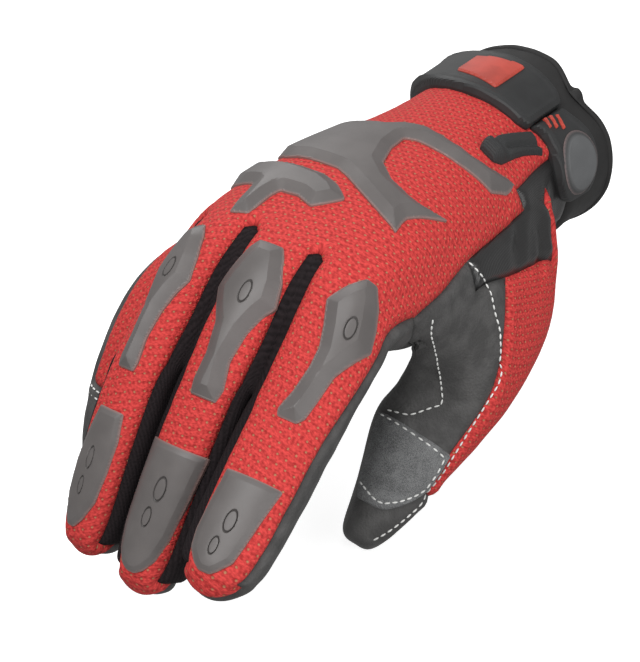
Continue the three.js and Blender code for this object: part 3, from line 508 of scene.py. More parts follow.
def thumb_frames():
    ends = [(Vector(ring.back), Vector(ring.pad)) for ring in THUMB]
    centres = [back.lerp(pad, 0.5) for back, pad in ends]
    frames = []
    for i, ring in enumerate(THUMB):
        direction = (centres[min(i + 1, len(THUMB) - 1)] - centres[max(i - 1, 0)]).normalized()
        nail = ends[i][0] - ends[i][1]
        wide = nail.length / 2
        nail.normalize()
        outer = nail.cross(direction).normalized()
        frames.append(ThumbFrame(centres[i], wide, ring.thick, direction, nail, outer))
    return frames


THUMB_FRAMES = thumb_frames()


def thumb_panel(k, band_number, count):
    if band_number == 0 and k >= count - 3:
        return "wrist_gusset"
    on_back = k >= count - 2 or k < 2
    return "thumb_back" if on_back and band_number < THUMB_BACK_END else "thumb_front"


def thumb_tube(grid, rings):
    first, last = HOLE_ROWS
    dorsal, palmar = HOLE_COLUMNS
    root = [rings[first][c] for c in range(dorsal, palmar)]
    root += [rings[row][palmar] for row in range(first, last)]
    root += [rings[last][c] for c in range(palmar, dorsal, -1)]
    root += [rings[row][dorsal] for row in range(last, first, -1)]
    count = len(root)

    def angle_at(k, slide=0):
        from_seam = abs(k - (count - 2))
        near_seam = 1 - from_seam / SLIDE_REACH if from_seam < SLIDE_REACH else 0
        return math.radians(THUMB_TURN + k / count * 360 + slide * near_seam)

    def tube_point(at, k, slide=0):
        wide = at.wide * rounded(math.cos(angle_at(k, slide)), THUMB_SQUARE)
        thick = at.thick * rounded(math.sin(angle_at(k, slide)), THUMB_SQUARE)
        return at.centre + at.nail * wide + at.outer * thick

    points = grid.points
    rows = [root]
    for i, (share, bulge) in enumerate(THUMB_BALL):
        row = []
        for k, index in enumerate(root):
            own = GUSSET_SHARES.get(k, share) if i == 0 else share
            out = bulge * (own / share) ** BALL_EVEN
            straight = points[index].lerp(tube_point(THUMB_FRAMES[0], k), own)
            row.append(grid.add(straight + BALL_OUTWARD * out * (0.5 + 0.5 * math.cos(angle_at(k)))))
        rows.append(row)
    rows += [[grid.add(tube_point(at, k, slide)) for k in range(count)]
             for at, slide in zip(THUMB_FRAMES, SEAM_SLIDES)]
    for _ in range(WEB.rounds):
        for i in range(1, WEB.rings):
            for k in range(WEB.first, WEB.last + 1):
                near = (rows[i - 1][k], rows[i + 1][k], rows[i][k - 1], rows[i][k + 1])
                middle = sum((points[j] for j in near), Vector()) / 4
                points[rows[i][k]] = points[rows[i][k]].lerp(middle, 0.6)
    for i in range(len(rows) - 1):
        grid.band(rows[i], rows[i + 1], lambda k, n=i: thumb_panel(k, n, count))
    tip = THUMB_FRAMES[-1]
    turned = rows[-1][THUMB_TIP_START:] + rows[-1][:THUMB_TIP_START]
    grid.dome(turned, 4, 4, tip.centre, tip.direction, tip.wide * THUMB_TIP_DOME, lambda d: "thumb_front")


def glove_grid():
    grid = Grid()
    rings = hand_rings(grid)
    hand_quads(grid, rings)
    for f, root in enumerate(finger_roots(grid, rings[-1])):
        finger_tube(grid, root, f)
    thumb_tube(grid, rings)
    return grid, rings


# The cloth: the grid made smooth, with hollows at its seams

PANELS = (
    "back_panel", "palm_panel", "fourchette_1", "fourchette_2", "fourchette_3", "thumb_back",
    "thumb_front", "wrist_gusset", "cuff",
)
Skin = namedtuple("Skin", "points normals faces panels uvs tree smooth_tree")
Crease = namedtuple("Crease", "a b depth width")
CREASES = (
    Crease((34, -52, 16), (24, -38, -22), 1.1, 2.2),
    Crease((38, -60, 8), (30, -46, -24), 0.9, 2.4),
    Crease((-30, -44, 12), (22, -46, 26), 0.5, 2.5),
    Crease((40, -112, -8), (30, -116, -30), 0.8, 2.0),
    Crease((47, -128, -4), (44, -150, 2), 0.6, 2.4),
    Crease((33, -58, 20), (41, -80, 2), 1.3, 1.9),
    Crease((36, -50, 12), (44, -70, -8), 1.1, 1.8),
    Crease((30, -50, 22), (38, -66, 10), 0.9, 1.7),
)


Puff = namedtuple("Puff", "height at width")
PUFF = Puff(0.4, 3.4, 1.8)
WAVE_LENGTHS = (13, 5.5)
FINE_WAVE = 0.6
FINE_WAVE_START = Vector((9, 4, 1))
SMOOTHING = 3


def loose_mesh(name, points, faces):
    mesh = bpy.data.meshes.new(name)
    mesh.from_pydata([tuple(p) for p in points], [], faces)
    mesh.update()
    return mesh


def with_modifier(mesh, kind, **settings):
    """The mesh as one modifier leaves it."""
    carrier = bpy.data.objects.new("carrier", mesh)
    bpy.context.scene.collection.objects.link(carrier)
    modifier = carrier.modifiers.new(kind, kind)
    for key, value in settings.items():
        setattr(modifier, key, value)
    graph = bpy.context.evaluated_depsgraph_get()
    result = bpy.data.meshes.new_from_object(carrier.evaluated_get(graph))
    bpy.data.objects.remove(carrier)
    return result


def coordinates(mesh):
    flat = np.empty(len(mesh.vertices) * 3, np.float32)
    mesh.vertices.foreach_get("co", flat)
    return flat.reshape(-1, 3).astype(float)


def normals_of(mesh):
    flat = np.empty(len(mesh.vertices) * 3, np.float32)
    mesh.vertex_normals.foreach_get("vector", flat)
    return flat.reshape(-1, 3).astype(float)


def fitted_points(grid):
    """Control points whose smooth surface runs through the grid's own points."""
    wanted = np.array([tuple(p) for p in grid.points])
    control = wanted.copy()
    for _ in range(2):
        smooth = with_modifier(loose_mesh("grid", control, grid.quads), "SUBSURF", levels=1, render_levels=1,
                               use_limit_surface=True)
        control += 0.8 * (wanted - coordinates(smooth)[: len(wanted)])
    return control


def unwrapped(mesh, seams):
    """Lays each panel flat, so that a weave follows it."""
    for edge in mesh.edges:
        edge.use_seam = tuple(sorted(edge.vertices)) in seams
    carrier = bpy.data.objects.new("carrier", mesh)
    bpy.context.scene.collection.objects.link(carrier)
    bpy.context.view_layer.objects.active = carrier
    carrier.select_set(True)
    mesh.uv_layers.new(name="weave")
    bpy.ops.object.mode_set(mode="EDIT")
    bpy.ops.mesh.select_all(action="SELECT")
    bpy.ops.uv.unwrap(method="ANGLE_BASED", margin=0.01)
    bpy.ops.object.mode_set(mode="OBJECT")
    bpy.data.objects.remove(carrier)


def border_of(faces):
    """The edges that only one face has, each in that face's direction."""
    border = {}
    for face in faces:
        for k, a in enumerate(face):
            b = face[(k + 1) % len(face)]
            if border.pop((b, a), None) is None:
                border[(a, b)] = True
    return list(border)


def edges_of(face):
    return [tuple(sorted((a, face[(k + 1) % len(face)]))) for k, a in enumerate(face)]


def seam_edges(grid, rings):
    """Edges between two panels, and one line along the cuff that opens its ring."""
    seen = {}
    seams = set()
    for face, panel in zip(grid.quads, grid.panels):
        for edge in edges_of(face):
            if seen.setdefault(edge, panel) != panel:
                seams.add(edge)
    under = column_of(1, 2, "bottom")
    seams.update(tuple(sorted((rings[row][under], rings[row + 1][under]))) for row in range(CUFF_ROWS))
    return seams


CREASE_LIP = 0.45
CREASE_LIP_AT = 2.2


def crease_depth(p):
    """How far the creases sink a place, less the lip that each raises beside it."""
    depth = 0.0
    for crease in CREASES:
        a = Vector(crease.a)
        run = Vector(crease.b) - a
        t = min(max((p - a).dot(run) / run.length_squared, 0), 1)
        off = (p - a - run * t).length
        fade = math.sin(math.pi * min(max(t, 0.02), 0.98)) ** 0.5
        widths = off / crease.width
        lip = CREASE_LIP * math.exp(-((widths - CREASE_LIP_AT) ** 2))
        depth += crease.depth * fade * (math.exp(-(widths ** 2)) - lip)
    return depth


@lru_cache(maxsize=1)
def skin():
    """The whole cloth as one dense mesh, in the tables' millimetres."""
    cloth = sizes("cloth")
    grid, rings = glove_grid()
    mesh = loose_mesh("grid", fitted_points(grid), grid.quads)
    for polygon, panel in zip(mesh.polygons, grid.panels):
        polygon.material_index = PANELS.index(panel)
    unwrapped(mesh, seam_edges(grid, rings))
    dense = with_modifier(mesh, "SUBSURF", levels=SMOOTHING, render_levels=SMOOTHING, use_limit_surface=True)
    plain = coordinates(dense)
    normals = normals_of(dense)
    faces = np.empty(len(dense.loops), np.int32)
    dense.loops.foreach_get("vertex_index", faces)
    faces = faces.reshape(-1, 4)
    loop_edges = np.empty(len(dense.loops), np.int32)
    dense.loops.foreach_get("edge_index", loop_edges)
    panels = np.empty(len(dense.polygons), np.int32)
    dense.polygons.foreach_get("material_index", panels)
    uvs = np.empty(len(dense.loops) * 2, np.float32)
    dense.uv_layers["weave"].data.foreach_get("uv", uvs)
    lowest = np.full(len(dense.edges), 99)
    highest = np.full(len(dense.edges), -1)
    per_loop = np.repeat(panels, 4)
    np.minimum.at(lowest, loop_edges, per_loop)
    np.maximum.at(highest, loop_edges, per_loop)
    ends = np.empty(len(dense.edges) * 2, np.int32)
    dense.edges.foreach_get("vertices", ends)
    ends = ends.reshape(-1, 2)[lowest != highest]
    first, last = plain[ends[:, 0]], plain[ends[:, 1]]
    on_seams = np.concatenate([first * (1 - t) + last * t for t in (0, 0.33, 0.67, 1)])
    seams = KDTree(len(on_seams))
    for i, p in enumerate(on_seams):
        seams.insert(p, i)
    seams.balance()
    points = plain.copy()
    for i, (p, n) in enumerate(zip(plain, normals)):
        place = Vector(p)
        off = seams.find(p)[2]
        sunk = cloth.seam_depth * math.exp(-((off / cloth.seam_width) ** 2))
        puff = PUFF.height * math.exp(-(((off - PUFF.at) / PUFF.width) ** 2))
        broad, fine = (place / wave for wave in WAVE_LENGTHS)
        waves = noise.noise(broad) + FINE_WAVE * noise.noise(fine + FINE_WAVE_START)
        points[i] = p + n * (puff - sunk + cloth.wrinkle * waves - crease_depth(place))
    return Skin(points, normals, faces, panels, uvs.reshape(-1, 4, 2),
                BVHTree.FromPolygons(points.tolist(), faces.tolist()),
                BVHTree.FromPolygons(plain.tolist(), faces.tolist()))


def finish_piece(mesh, name, nodes, slot, material):
    """Moves a mesh from the tables' millimetres to the finished place, and hands it to the frame."""
    mesh.transform(Matrix.Scale(MM, 4) @ Matrix.Translation(-ORIGIN))
    mesh.name = name
    mesh.materials.clear()
    mesh.materials.append(material)
    mesh.polygons.foreach_set("use_smooth", [True] * len(mesh.polygons))
    mesh.polygons.foreach_set("material_index", [0] * len(mesh.polygons))
    mesh.update()
    obj = bpy.data.objects.new(name, mesh)
    bpy.context.scene.collection.objects.link(obj)
    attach(obj, "root")
    if nodes:
        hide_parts(*nodes)
    return obj


def turned_flat(uvs, points, toward):
    """Scales a flattened panel to millimetres and turns it, so that +V follows a direction on the glove."""
    flat = uvs.reshape(-1, 2)
    solid = points.reshape(-1, 3)
    a, b, c = uvs[:, 0], uvs[:, 1], uvs[:, 2]
    area = ((b - a)[:, 0] * (c - a)[:, 1] - (b - a)[:, 1] * (c - a)[:, 0])
    real = np.linalg.norm(np.cross(points[:, 1] - points[:, 0], points[:, 2] - points[:, 0]), axis=1)
    scale = math.sqrt(real.sum() / max(abs(area.sum()), 1e-12))
    fit = np.linalg.lstsq(solid - solid.mean(0), flat - flat.mean(0), rcond=None)[0]
    along = np.array(toward) @ fit
    turn = math.pi / 2 - math.atan2(along[1], along[0])
    spin = np.array([[math.cos(turn), -math.sin(turn)], [math.sin(turn), math.cos(turn)]])
    return ((flat - flat.mean(0)) @ spin.T * scale).reshape(uvs.shape)


def panel(name, slot, material, toward):
    """One panel of cloth: its patch of the skin outside, the wall's thickness, and a rim between."""
    cloth = skin()
    chosen = cloth.faces[cloth.panels == PANELS.index(name)]
    uvs = cloth.uvs[cloth.panels == PANELS.index(name)]
    used, local = np.unique(chosen, return_inverse=True)
    local = local.reshape(-1, 4)
    outside = cloth.points[used]
    inside = outside - cloth.normals[used] * sizes("cloth").wall
    flat = turned_flat(uvs, cloth.points[chosen], toward)
    count = len(used)
    rim = [(b, a, a + count, b + count) for a, b in border_of(local.tolist())]
    faces = local.tolist() + (local[:, ::-1] + count).tolist() + rim
    mesh = loose_mesh(name, np.concatenate([outside, inside]), faces)
    by_vertex = np.zeros((count, 2))
    by_vertex[local.reshape(-1)] = flat.reshape(-1, 2)
    rim_uvs = [by_vertex[i % count] for face in rim for i in face]
    layer = mesh.uv_layers.new(name="weave")
    every = [flat.reshape(-1, 2), flat[:, ::-1].reshape(-1, 2), np.array(rim_uvs).reshape(-1, 2)]
    layer.data.foreach_set("uv", np.concatenate(every).astype(np.float32).reshape(-1))
    return finish_piece(mesh, name + "_cloth", [name], slot, material)


HEM_SIDES = 12
HEM_PAST_EDGE = 0.8


def cuff_hem():
    """A rolled edge round the wrist opening."""
    cloth = skin()
    following = dict(border_of(cloth.faces.tolist()))
    start = at = next(iter(following))
    loop = []
    while not loop or at != start:
        loop.append(at)
        at = following[at]
    radius = sizes("cloth").hem
    back = Vector((0, 1, 0))
    points = []
    for i in loop:
        outward = Vector(cloth.normals[i])
        centre = Vector(cloth.points[i]) - outward * (sizes("cloth").wall / 2) - back * radius * HEM_PAST_EDGE
        for k in range(HEM_SIDES):
            angle = 2 * math.pi * k / HEM_SIDES
            points.append(centre + (outward * math.cos(angle) + back * math.sin(angle)) * radius)
    count = len(loop)
    faces = []
    for i in range(count):
        near, far = i * HEM_SIDES, (i + 1) % count * HEM_SIDES
        for k in range(HEM_SIDES):
            after = (k + 1) % HEM_SIDES
            faces.append((near + k, near + after, far + after, far + k))
    mesh = loose_mesh("cuff_hem", points, faces)
    outward = Vector(mesh.polygons[0].normal).dot(Vector(cloth.normals[loop[0]]))
    if outward < 0:
        mesh.flip_normals()
    finish_piece(mesh, "cuff_hem", [], "neoprene", material("neoprene"))


# Moulded and laid-on pieces, each from its outline

SHARP = 13
# How far a ray is followed, and how far off the cloth it starts.
RAY_REACH = 160
OVER_FINGER = 14
OVER_BACK = 90
OFF_WRIST = 80
OFF_THUMB = 50
Seat = namedtuple("Seat", "point normal")
Oval = namedtuple("Oval", "u v half_u half_v turn")


def cast(start, direction):
    """The place on the smooth cloth, without its seams and creases, that a ray meets."""
    hit = skin().smooth_tree.ray_cast(start, direction, RAY_REACH)
    if hit[0] is None:
        raise RuntimeError(f"no cloth below {tuple(round(c, 1) for c in start)}")
    return Seat(hit[0], hit[1])


def on_finger(f):
    """Places (sideways, along) on a finger's back."""
    def seat(u, v):
        at = line_at(LINES[f], v)
        past = v - min(max(v, 0), FINGERS[f].length)
        p = at.p + at.sideways * u + at.direction * past
        return Seat(cast(p + at.normal * OVER_FINGER, -at.normal).point, at.normal)
    return seat


def on_back(u, v):
    """Places (x, y) on the back of the hand."""
    hit = cast(Vector((u, v, OVER_BACK)), Vector((0, 0, -1)))
    return Seat(hit.point, (hit.normal + Vector((0, 0, 1))).normalized())


WRIST_AXIS = (-2, 1)
WRIST_RADIUS = 33


def on_wrist(u, v):
    """Places (round the wrist from the back towards the thumb, y), both in millimetres."""
    angle = u / WRIST_RADIUS
    outward = Vector((math.sin(angle), 0, math.cos(angle)))
    centre = Vector((WRIST_AXIS[0], v, WRIST_AXIS[1]))
    return Seat(cast(centre + outward * OFF_WRIST, -outward).point, outward)


def on_thumb(u, v):
    """Places (round the thumb from its nail, share of the way along its rings)."""
    i = min(int(v), len(THUMB_FRAMES) - 2)
    a, b = THUMB_FRAMES[i], THUMB_FRAMES[i + 1]
    t = v - i
    angle = math.radians(u)
    nail, outer = a.nail.lerp(b.nail, t), a.outer.lerp(b.outer, t)
    outward = (nail * math.cos(angle) + outer * math.sin(angle)).normalized()
    return Seat(cast(a.centre.lerp(b.centre, t) + outward * OFF_THUMB, -outward).point, outward)


def area_of(loop):
    return sum(a[0] * b[1] - b[0] * a[1] for a, b in zip(loop, loop[1:] + loop[:1])) / 2


def union_outline(polygons):
    """The outer border of overlapping polygons."""
    points, faces = [], []
    for polygon in polygons:
        ordered = polygon if area_of(polygon) > 0 else polygon[::-1]
        faces.append(list(range(len(points), len(points) + len(ordered))))
        points += [Vector(p) for p in ordered]
    made, _, triangles, *_ = delaunay_2d_cdt(points, [], faces, 1, 1e-4)
    following = dict(border_of(triangles))
    loops = []
    while following:
        start, at = following.popitem()
        loop = [start]
        while at != start:
            loop.append(at)
            at = following.pop(at)
        loops.append([tuple(made[i]) for i in loop])
    return max(loops, key=area_of)


def evenly(loop, pitch, closed=True):
    """Points at an even pitch along a line."""
    line = np.array(loop + loop[:1] if closed else loop, float)
    steps = np.linalg.norm(np.diff(line, axis=0), axis=1)
    at = np.concatenate([[0], np.cumsum(steps)])
    count = max(int(round(at[-1] / pitch)), 3)
    wanted = np.linspace(0, at[-1], count + 1)
    if closed:
        wanted = wanted[:-1]
    return np.stack([np.interp(wanted, at, line[:, k]) for k in range(line.shape[1])], axis=1)


def softened(loop, pitch, rounds):
    """A closed outline at an even pitch, with its corners rounded."""
    line = evenly(loop, pitch)
    for _ in range(rounds):
        line = line * 0.5 + (np.roll(line, 1, 0) + np.roll(line, -1, 0)) * 0.25
    return evenly([tuple(p) for p in line], pitch)


def distances(points, loop):
    """Distance of each point from a closed outline."""
    a = loop[None, :, :]
    run = np.roll(loop, -1, 0)[None, :, :] - a
    nearest = np.full(len(points), 1e9)
    for chunk in np.array_split(np.arange(len(points)), max(1, len(points) // 2000)):
        p = points[chunk][:, None, :]
        t = np.clip(((p - a) * run).sum(2) / (run ** 2).sum(2), 0, 1)
        nearest[chunk] = np.sqrt((((p - a - t[:, :, None] * run) ** 2).sum(2)).min(1))
    return nearest


def within(points, loop):
    """Which points lie inside a closed outline."""
    inside = np.zeros(len(points), bool)
    x, y = points[:, 0], points[:, 1]
    for (ax, ay), (bx, by) in zip(loop, np.roll(loop, -1, 0)):
        crosses = (ay > y) != (by > y)
        inside ^= crosses & (x < (bx - ax) * (y - ay) / (by - ay + 1e-12) + ax)
    return inside


def honeycomb(low, high, pitch):
    rows = np.arange(low[1], high[1], pitch * 0.866)
    return np.array([
        (x + (i % 2) * pitch / 2, y) for i, y in enumerate(rows) for x in np.arange(low[0], high[0], pitch)
    ])


def oval_reach(points, oval):
    """1 on an oval's line, less inside it."""
    c, s = math.cos(math.radians(oval.turn)), math.sin(math.radians(oval.turn))
    x, y = points[:, 0] - oval.u, points[:, 1] - oval.v
    return np.hypot((x * c + y * s) / oval.half_u, (y * c - x * s) / oval.half_v)


def oval_line(oval, size, count=40):
    c, s = math.cos(math.radians(oval.turn)), math.sin(math.radians(oval.turn))
    turns = np.linspace(0, 2 * math.pi, count, endpoint=False)
    x, y = np.cos(turns) * oval.half_u * size, np.sin(turns) * oval.half_v * size
    return np.stack([oval.u + x * c - y * s, oval.v + x * s + y * c], axis=1)


def inset(loop, depth):
    """Points at an even depth inside a closed outline that runs counterclockwise."""
    run = np.roll(loop, -1, 0) - np.roll(loop, 1, 0)
    inward = np.stack([-run[:, 1], run[:, 0]], axis=1) / np.linalg.norm(run, axis=1)[:, None]
    moved = loop + inward * depth
    return moved[within(moved, loop) & (distances(moved, loop) > depth - 0.04)]


# A guard's oval groove: the rings of points that carry it, the band they keep clear, and its section.
OVAL_RINGS = (0.82, 0.93, 1.0, 1.08)
OVAL_CLEAR = (0.74, 1.16)
OVAL_AT = 0.95
OVAL_WIDTH = 0.08
OVAL_DEPTH = 0.45
RIM_WIDTH = 0.3


def moulded(name, outline, seat, height, finish, pitch=0.55, corner=3, ovals=(), creases=(), sunk=0.5):
    """A piece with a flat outline, laid on the cloth. height(points, distances) gives its top."""
    loop = softened(outline, pitch * 0.8, corner)
    if area_of([tuple(p) for p in loop]) < 0:
        loop = loop[::-1]
    grid = honeycomb(loop.min(0), loop.max(0), pitch)
    grid = grid[within(grid, loop)]
    inside = distances(grid, loop)
    clear = inside > pitch * 0.45
    for depth in creases:
        clear &= np.abs(inside - depth) > pitch * 0.4
    grid = grid[clear]
    marked = [oval_line(oval, size) for oval in ovals for size in OVAL_RINGS]
    for oval in ovals:
        reach = oval_reach(grid, oval)
        grid = grid[(reach < OVAL_CLEAR[0]) | (reach > OVAL_CLEAR[1])]
    points = np.concatenate([loop, grid, *marked, *(inset(loop, depth) for depth in creases)])
    made, _, triangles, *_ = delaunay_2d_cdt(
        [Vector(p) for p in points], [], [list(range(len(loop)))], 1, 1e-4
    )
    flat = np.array([tuple(p) for p in made])
    off = distances(flat, loop)
    tops = height(flat, off)
    # This mask shows where the oval grooves run. The guard and pad materials paint it dark as painted shade
    # in the grooves.
    marks = np.zeros(len(flat))
    for oval in ovals:
        groove = np.exp(-(((oval_reach(flat, oval) - OVAL_AT) / OVAL_WIDTH) ** 2))
        tops = tops - OVAL_DEPTH * groove
        marks = np.maximum(marks, groove)
    seats = [seat(*p) for p in flat]
    top = [s.point + s.normal * h for s, h in zip(seats, tops)]
    bottom = [s.point - s.normal * sunk for s in seats]
    count = len(flat)
    a, b, c = triangles[0][:3]
    upward = (top[b] - top[a]).cross(top[c] - top[a]).dot(seats[a].normal) > 0
    faces = [tuple(f) if upward else tuple(f[::-1]) for f in triangles]
    rim = [(j, i, i + count, j + count) for i, j in border_of(faces)]
    under = [tuple(i + count for i in face[::-1]) for face in faces]
    mesh = loose_mesh(name, top + bottom, faces + under + rim)
    for key, values in (("mark", marks), ("rim", np.exp(-((off / RIM_WIDTH) ** 2)))):
        shade = mesh.attributes.new(key, "FLOAT", "POINT")
        shade.data.foreach_set("value", np.concatenate([values, values]).astype(np.float32))
    piece = finish_piece(mesh, name, *finish)
    mesh.set_sharp_from_angle(angle=math.radians(SHARP))
    return piece


# Finger guards: millimetres along the finger's back, then the left and right edge.
GUARD_OVALS = {
    "ring": (Oval(-0.6, 15, 1.4, 3.2, 0),),
    "middle": (Oval(1.2, 16.5, 1.5, 3.4, 0),),
    "index": (Oval(7.4, 14, 1.5, 3.4, -4),),
}
TIP_OVALS = {
    "ring": (Oval(-1, 73, 1.1, 3.4, 0), Oval(-1.6, 81.5, 0.9, 2.8, 0)),
    "middle": (Oval(0.2, 75.5, 1.7, 3.6, 0), Oval(-0.9, 84, 1.3, 2.9, 0)),
    "index": (Oval(0.4, 75, 1.6, 3.3, 0), Oval(-1, 82.6, 1.2, 2.6, 0)),
}
KNUCKLE_GUARDS = {
    "ring": [(-2, -7, -0.5), (2, -8.5, 2.4), (9, -9, 4.9), (16, -9.5, 6.2), (21, -7, 4.4), (27, -4, 3.2),
             (36, -3.3, 2.4), (43, -3.6, 3), (46, -3, 2.6)],
    "middle": [(0, -4.5, 3.5), (3, -6.2, 5.6), (10, -8.2, 8.6), (17, -10, 9.7), (21, -8, 7.8), (27, -4.2, 6),
               (36, -2.6, 5), (44, -3, 6.4), (48, -2.2, 5.6)],
    "index": [(-2, 4, 7.4), (3, 0.6, 10.4), (9, -2.6, 12.4), (16, 0, 14), (22, 1.6, 11.4), (28, 1.6, 8.8),
              (36, 0.4, 7.7), (42, -1.4, 6.6), (44, -0.6, 5)],
}
TIP_GUARDS = {
    "ring": [(58, -4, 4.6), (66, -6, 5.6), (76, -8, 5.2), (85, -7.6, 4.2), (91, -5.5, 1.6), (94, -3.8, -0.8)],
    "middle": [(63, -9.8, 9), (76, -9.6, 8.1), (88, -8.8, 7), (95, -7, 5.2), (98.5, -4.5, 2.8),
               (100, -2, 0.6)],
    "index": [(62, -7.4, 9.4), (72, -8, 7.6), (80, -8.2, 6.4), (85, -7.4, 5.4), (88.5, -4.6, 2.6),
              (90, -2.5, 0.8)],
}
# Guards on the back of the hand: x and y of the upper edge, then of the lower edge.
UPPER_BODY = [
    (-32.5, -64, -36.5, -80), (-29, -71.5, -35.5, -92), (-22, -78.5, -29, -106), (-14, -79.5, -20, -113),
    (-7, -78, -9, -114), (2, -80, 0, -114), (4, -92, 5, -116), (8, -102, 11, -119), (15, -107.5, 18, -122),
    (23, -109.5, 24, -124), (27.5, -114, 28, -125), (28.4, -121, 29.6, -126),
]
UPPER_FORK = [
    (21, -109.5, 24, -121), (26, -109, 28, -118), (30, -107, 29.6, -113), (33, -104.2, 32.4, -106.5),
]
UPPER_ARM = [
    (-12, -79.6, -11, -90), (-8, -78.5, -4, -88), (-4, -74.5, 2, -84), (2, -72, 6, -82),
    (12, -72.8, 12, -81.5), (20, -72.3, 20, -80.5), (25, -69.5, 26, -78.5), (28, -65.5, 30.2, -77),
    (30, -62.5, 31.2, -70),
]
LOWER_BODY = [
    (-37.5, -90, -40.5, -101), (-35, -103, -38.5, -113), (-28, -112, -33, -124), (-20, -117.5, -24, -131),
    (-12, -119, -13.5, -134), (-6, -119.2, -6, -133.5), (0, -119.4, 0, -132.8), (6, -121.5, 6.3, -135),
    (9.5, -124, 9, -131.5), (12, -126, 11.5, -127.5),
]
LOWER_PRONG = [
    (-17, -130, -5, -130), (-15, -137, -6.5, -137), (-14, -143, -6.6, -143), (-12.8, -148, -7, -146.5),
]
# Pieces at the wrist: degrees from the back towards the thumb, y of the open side, y of the finger side.
STRAP = [
    (-104, -9, -20), (-92, -7.5, -21), (-80, -7, -24), (-68, -8, -28), (-56, -9.5, -31.5), (-44, -11.5, -35),
    (-32, -12.8, -38.5), (-20, -14, -41), (-8, -15, -42.5), (4, -15.6, -43), (16, -16.4, -42.8),
    (26, -17.4, -43), (35, -19, -42.8), (41, -21.5, -41),
]
# How much thicker the strap is towards its outer end: degrees, then millimetres.
STRAP_EXTRA = [(-104, 0), (-92, 0.2), (-80, 0.7), (-68, 1.5), (-56, 2.2), (-44, 1.8), (-32, 0.8), (-20, 0)]
BADGE = [(-17, -21.5, -33.5), (-9, -21, -35), (-2, -20.8, -36), (5, -20.4, -37), (12.5, -20.2, -38)]
TAB = [
    (41.2, -22.2, -39), (47, -20.5, -37.2), (54, -18, -36.6), (60, -16.4, -37), (67, -15.6, -37.6),
    (74, -15.6, -37.6), (81, -16.6, -36.8), (88, -18.6, -35), (93.5, -21.5, -32),
]
# Waves across the pull loop: y, height and width of its rolled end and of the dip behind it.
Wave = namedtuple("Wave", "y height width")
LOOP_ROLL = Wave(-62.8, 2.4, 2.6)
LOOP_DIP = Wave(-57.6, 0.7, 1.3)
Fold = namedtuple("Fold", "off depth width end")
LOOP_FOLD = Fold(0.8, 1.3, 0.7, -57)
LOOP_LEAST = 0.3
Pad = namedtuple("Pad", "angle y spread half")
PAD = Pad(72.5, -26.6, 17.5, 9)
BARS = [(41.5, 47.5, -33.4), (42, 49.5, -30.6), (43.5, 52, -27.8)]
LOOP = [(-40.5, 20.6, 26), (-45, 19.6, 25.2), (-50, 18.6, 24.6), (-55, 17.8, 24.4), (-59.5, 17.4, 24.6),
        (-63, 17.2, 24.8), (-66, 18.4, 23.4)]
# The thumb's patch: place along the thumb's rings, then degrees from the nail to its two sides.
TIP_PATCH = [
    (1, 202, 316), (1.5, 200, 320), (2, 200, 319), (2.4, 202, 306), (2.75, 206, 289), (3.0, 212, 272),
    (3.08, 220, 258),
]


def from_rows(rows):
    """An outline up one side of a table's rows and down the other, each row (along, left, right)."""
    return [(left, s) for s, left, _ in rows] + [(right, s) for s, _, right in reversed(rows)]


def from_edges(rows):
    return [(x, y) for x, y, _, _ in rows] + [(x, y) for _, _, x, y in reversed(rows)]


def round_wrist(rows):
    at = [math.radians(angle) * WRIST_RADIUS for angle, _, _ in rows]
    there = [(u, y) for u, (_, y, _) in zip(at, rows)]
    return there + [(u, y) for u, (_, _, y) in reversed(list(zip(at, rows)))]


FLANGE = 0.6
# A fingertip guard's rise and bevel, as shares of a knuckle guard's.
TIP_RISE = 0.25
TIP_BEVEL = 0.4


def bevelled(rise, bevel):
    """A low flange, a sloped border and a raised flat top. On a narrow guard the slopes meet in a ridge."""
    edge = sizes("guards").edge

    def height(_, off):
        low = edge * (0.6 + 0.4 * np.clip(off / 0.3, 0, 1))
        return low + rise * np.clip((off - FLANGE) / bevel, 0, 1)
    return height


def slab(thickness, round_over=1.1, rim=0.0, rim_width=1.2, base=0.0):
    """A flat piece with a rounded border and, where asked, a raised rim inside it."""
    def height(_, off):
        t = np.clip(off / round_over, 0, 1)
        top = base + (thickness - base) * np.sqrt(np.maximum(0.08, 1 - (1 - t) ** 2))
        return top + rim * np.exp(-(((off - round_over - rim_width) / (0.6 * rim_width)) ** 2))
    return height


def finger_guards():
    guards = sizes("guards")
    kinds = (
        ("knuckle", KNUCKLE_GUARDS, GUARD_OVALS, guards.rise, guards.bevel, 0.42),
        ("fingertip", TIP_GUARDS, TIP_OVALS, guards.rise * TIP_RISE, guards.bevel * TIP_BEVEL, 0.5),
    )
    for f, name in enumerate(finger.name for finger in FINGERS):
        for kind, outlines, ovals, rise, bevel, pitch in kinds:
            if name in outlines:
                moulded(
                    f"{kind}_{name}", from_rows(outlines[name]), on_finger(f), bevelled(rise, bevel),
                    ([f"{kind}_guard_{name}"], "guard_rubber", material("guard_rubber")), pitch=pitch,
                    creases=(FLANGE, FLANGE + bevel), ovals=ovals[name], corner=2,
                )


def back_guards():
    guards = sizes("guards")
    upper = union_outline([from_edges(rows) for rows in (UPPER_BODY, UPPER_FORK, UPPER_ARM)])
    lower = union_outline([from_edges(rows) for rows in (LOWER_BODY, LOWER_PRONG)])
    for name, outline in (("upper", upper), ("lower", lower)):
        moulded(
            f"guard_{name}", outline, on_back, bevelled(guards.rise, guards.bevel), pitch=0.5,
            creases=(FLANGE, FLANGE + guards.bevel),
            finish=([f"back_guard_{name}"], "guard_rubber", material("guard_rubber")),
        )


# Heights of the plates above the strap, and how deep each is set into it.
BADGE_RISE = 0.8
PAD_RISE = 1.3
BAR_RISE = 0.9
PLATE_DEPTH = 0.6
BAR_HALF = 0.5
BAR_SLANT = 0.6


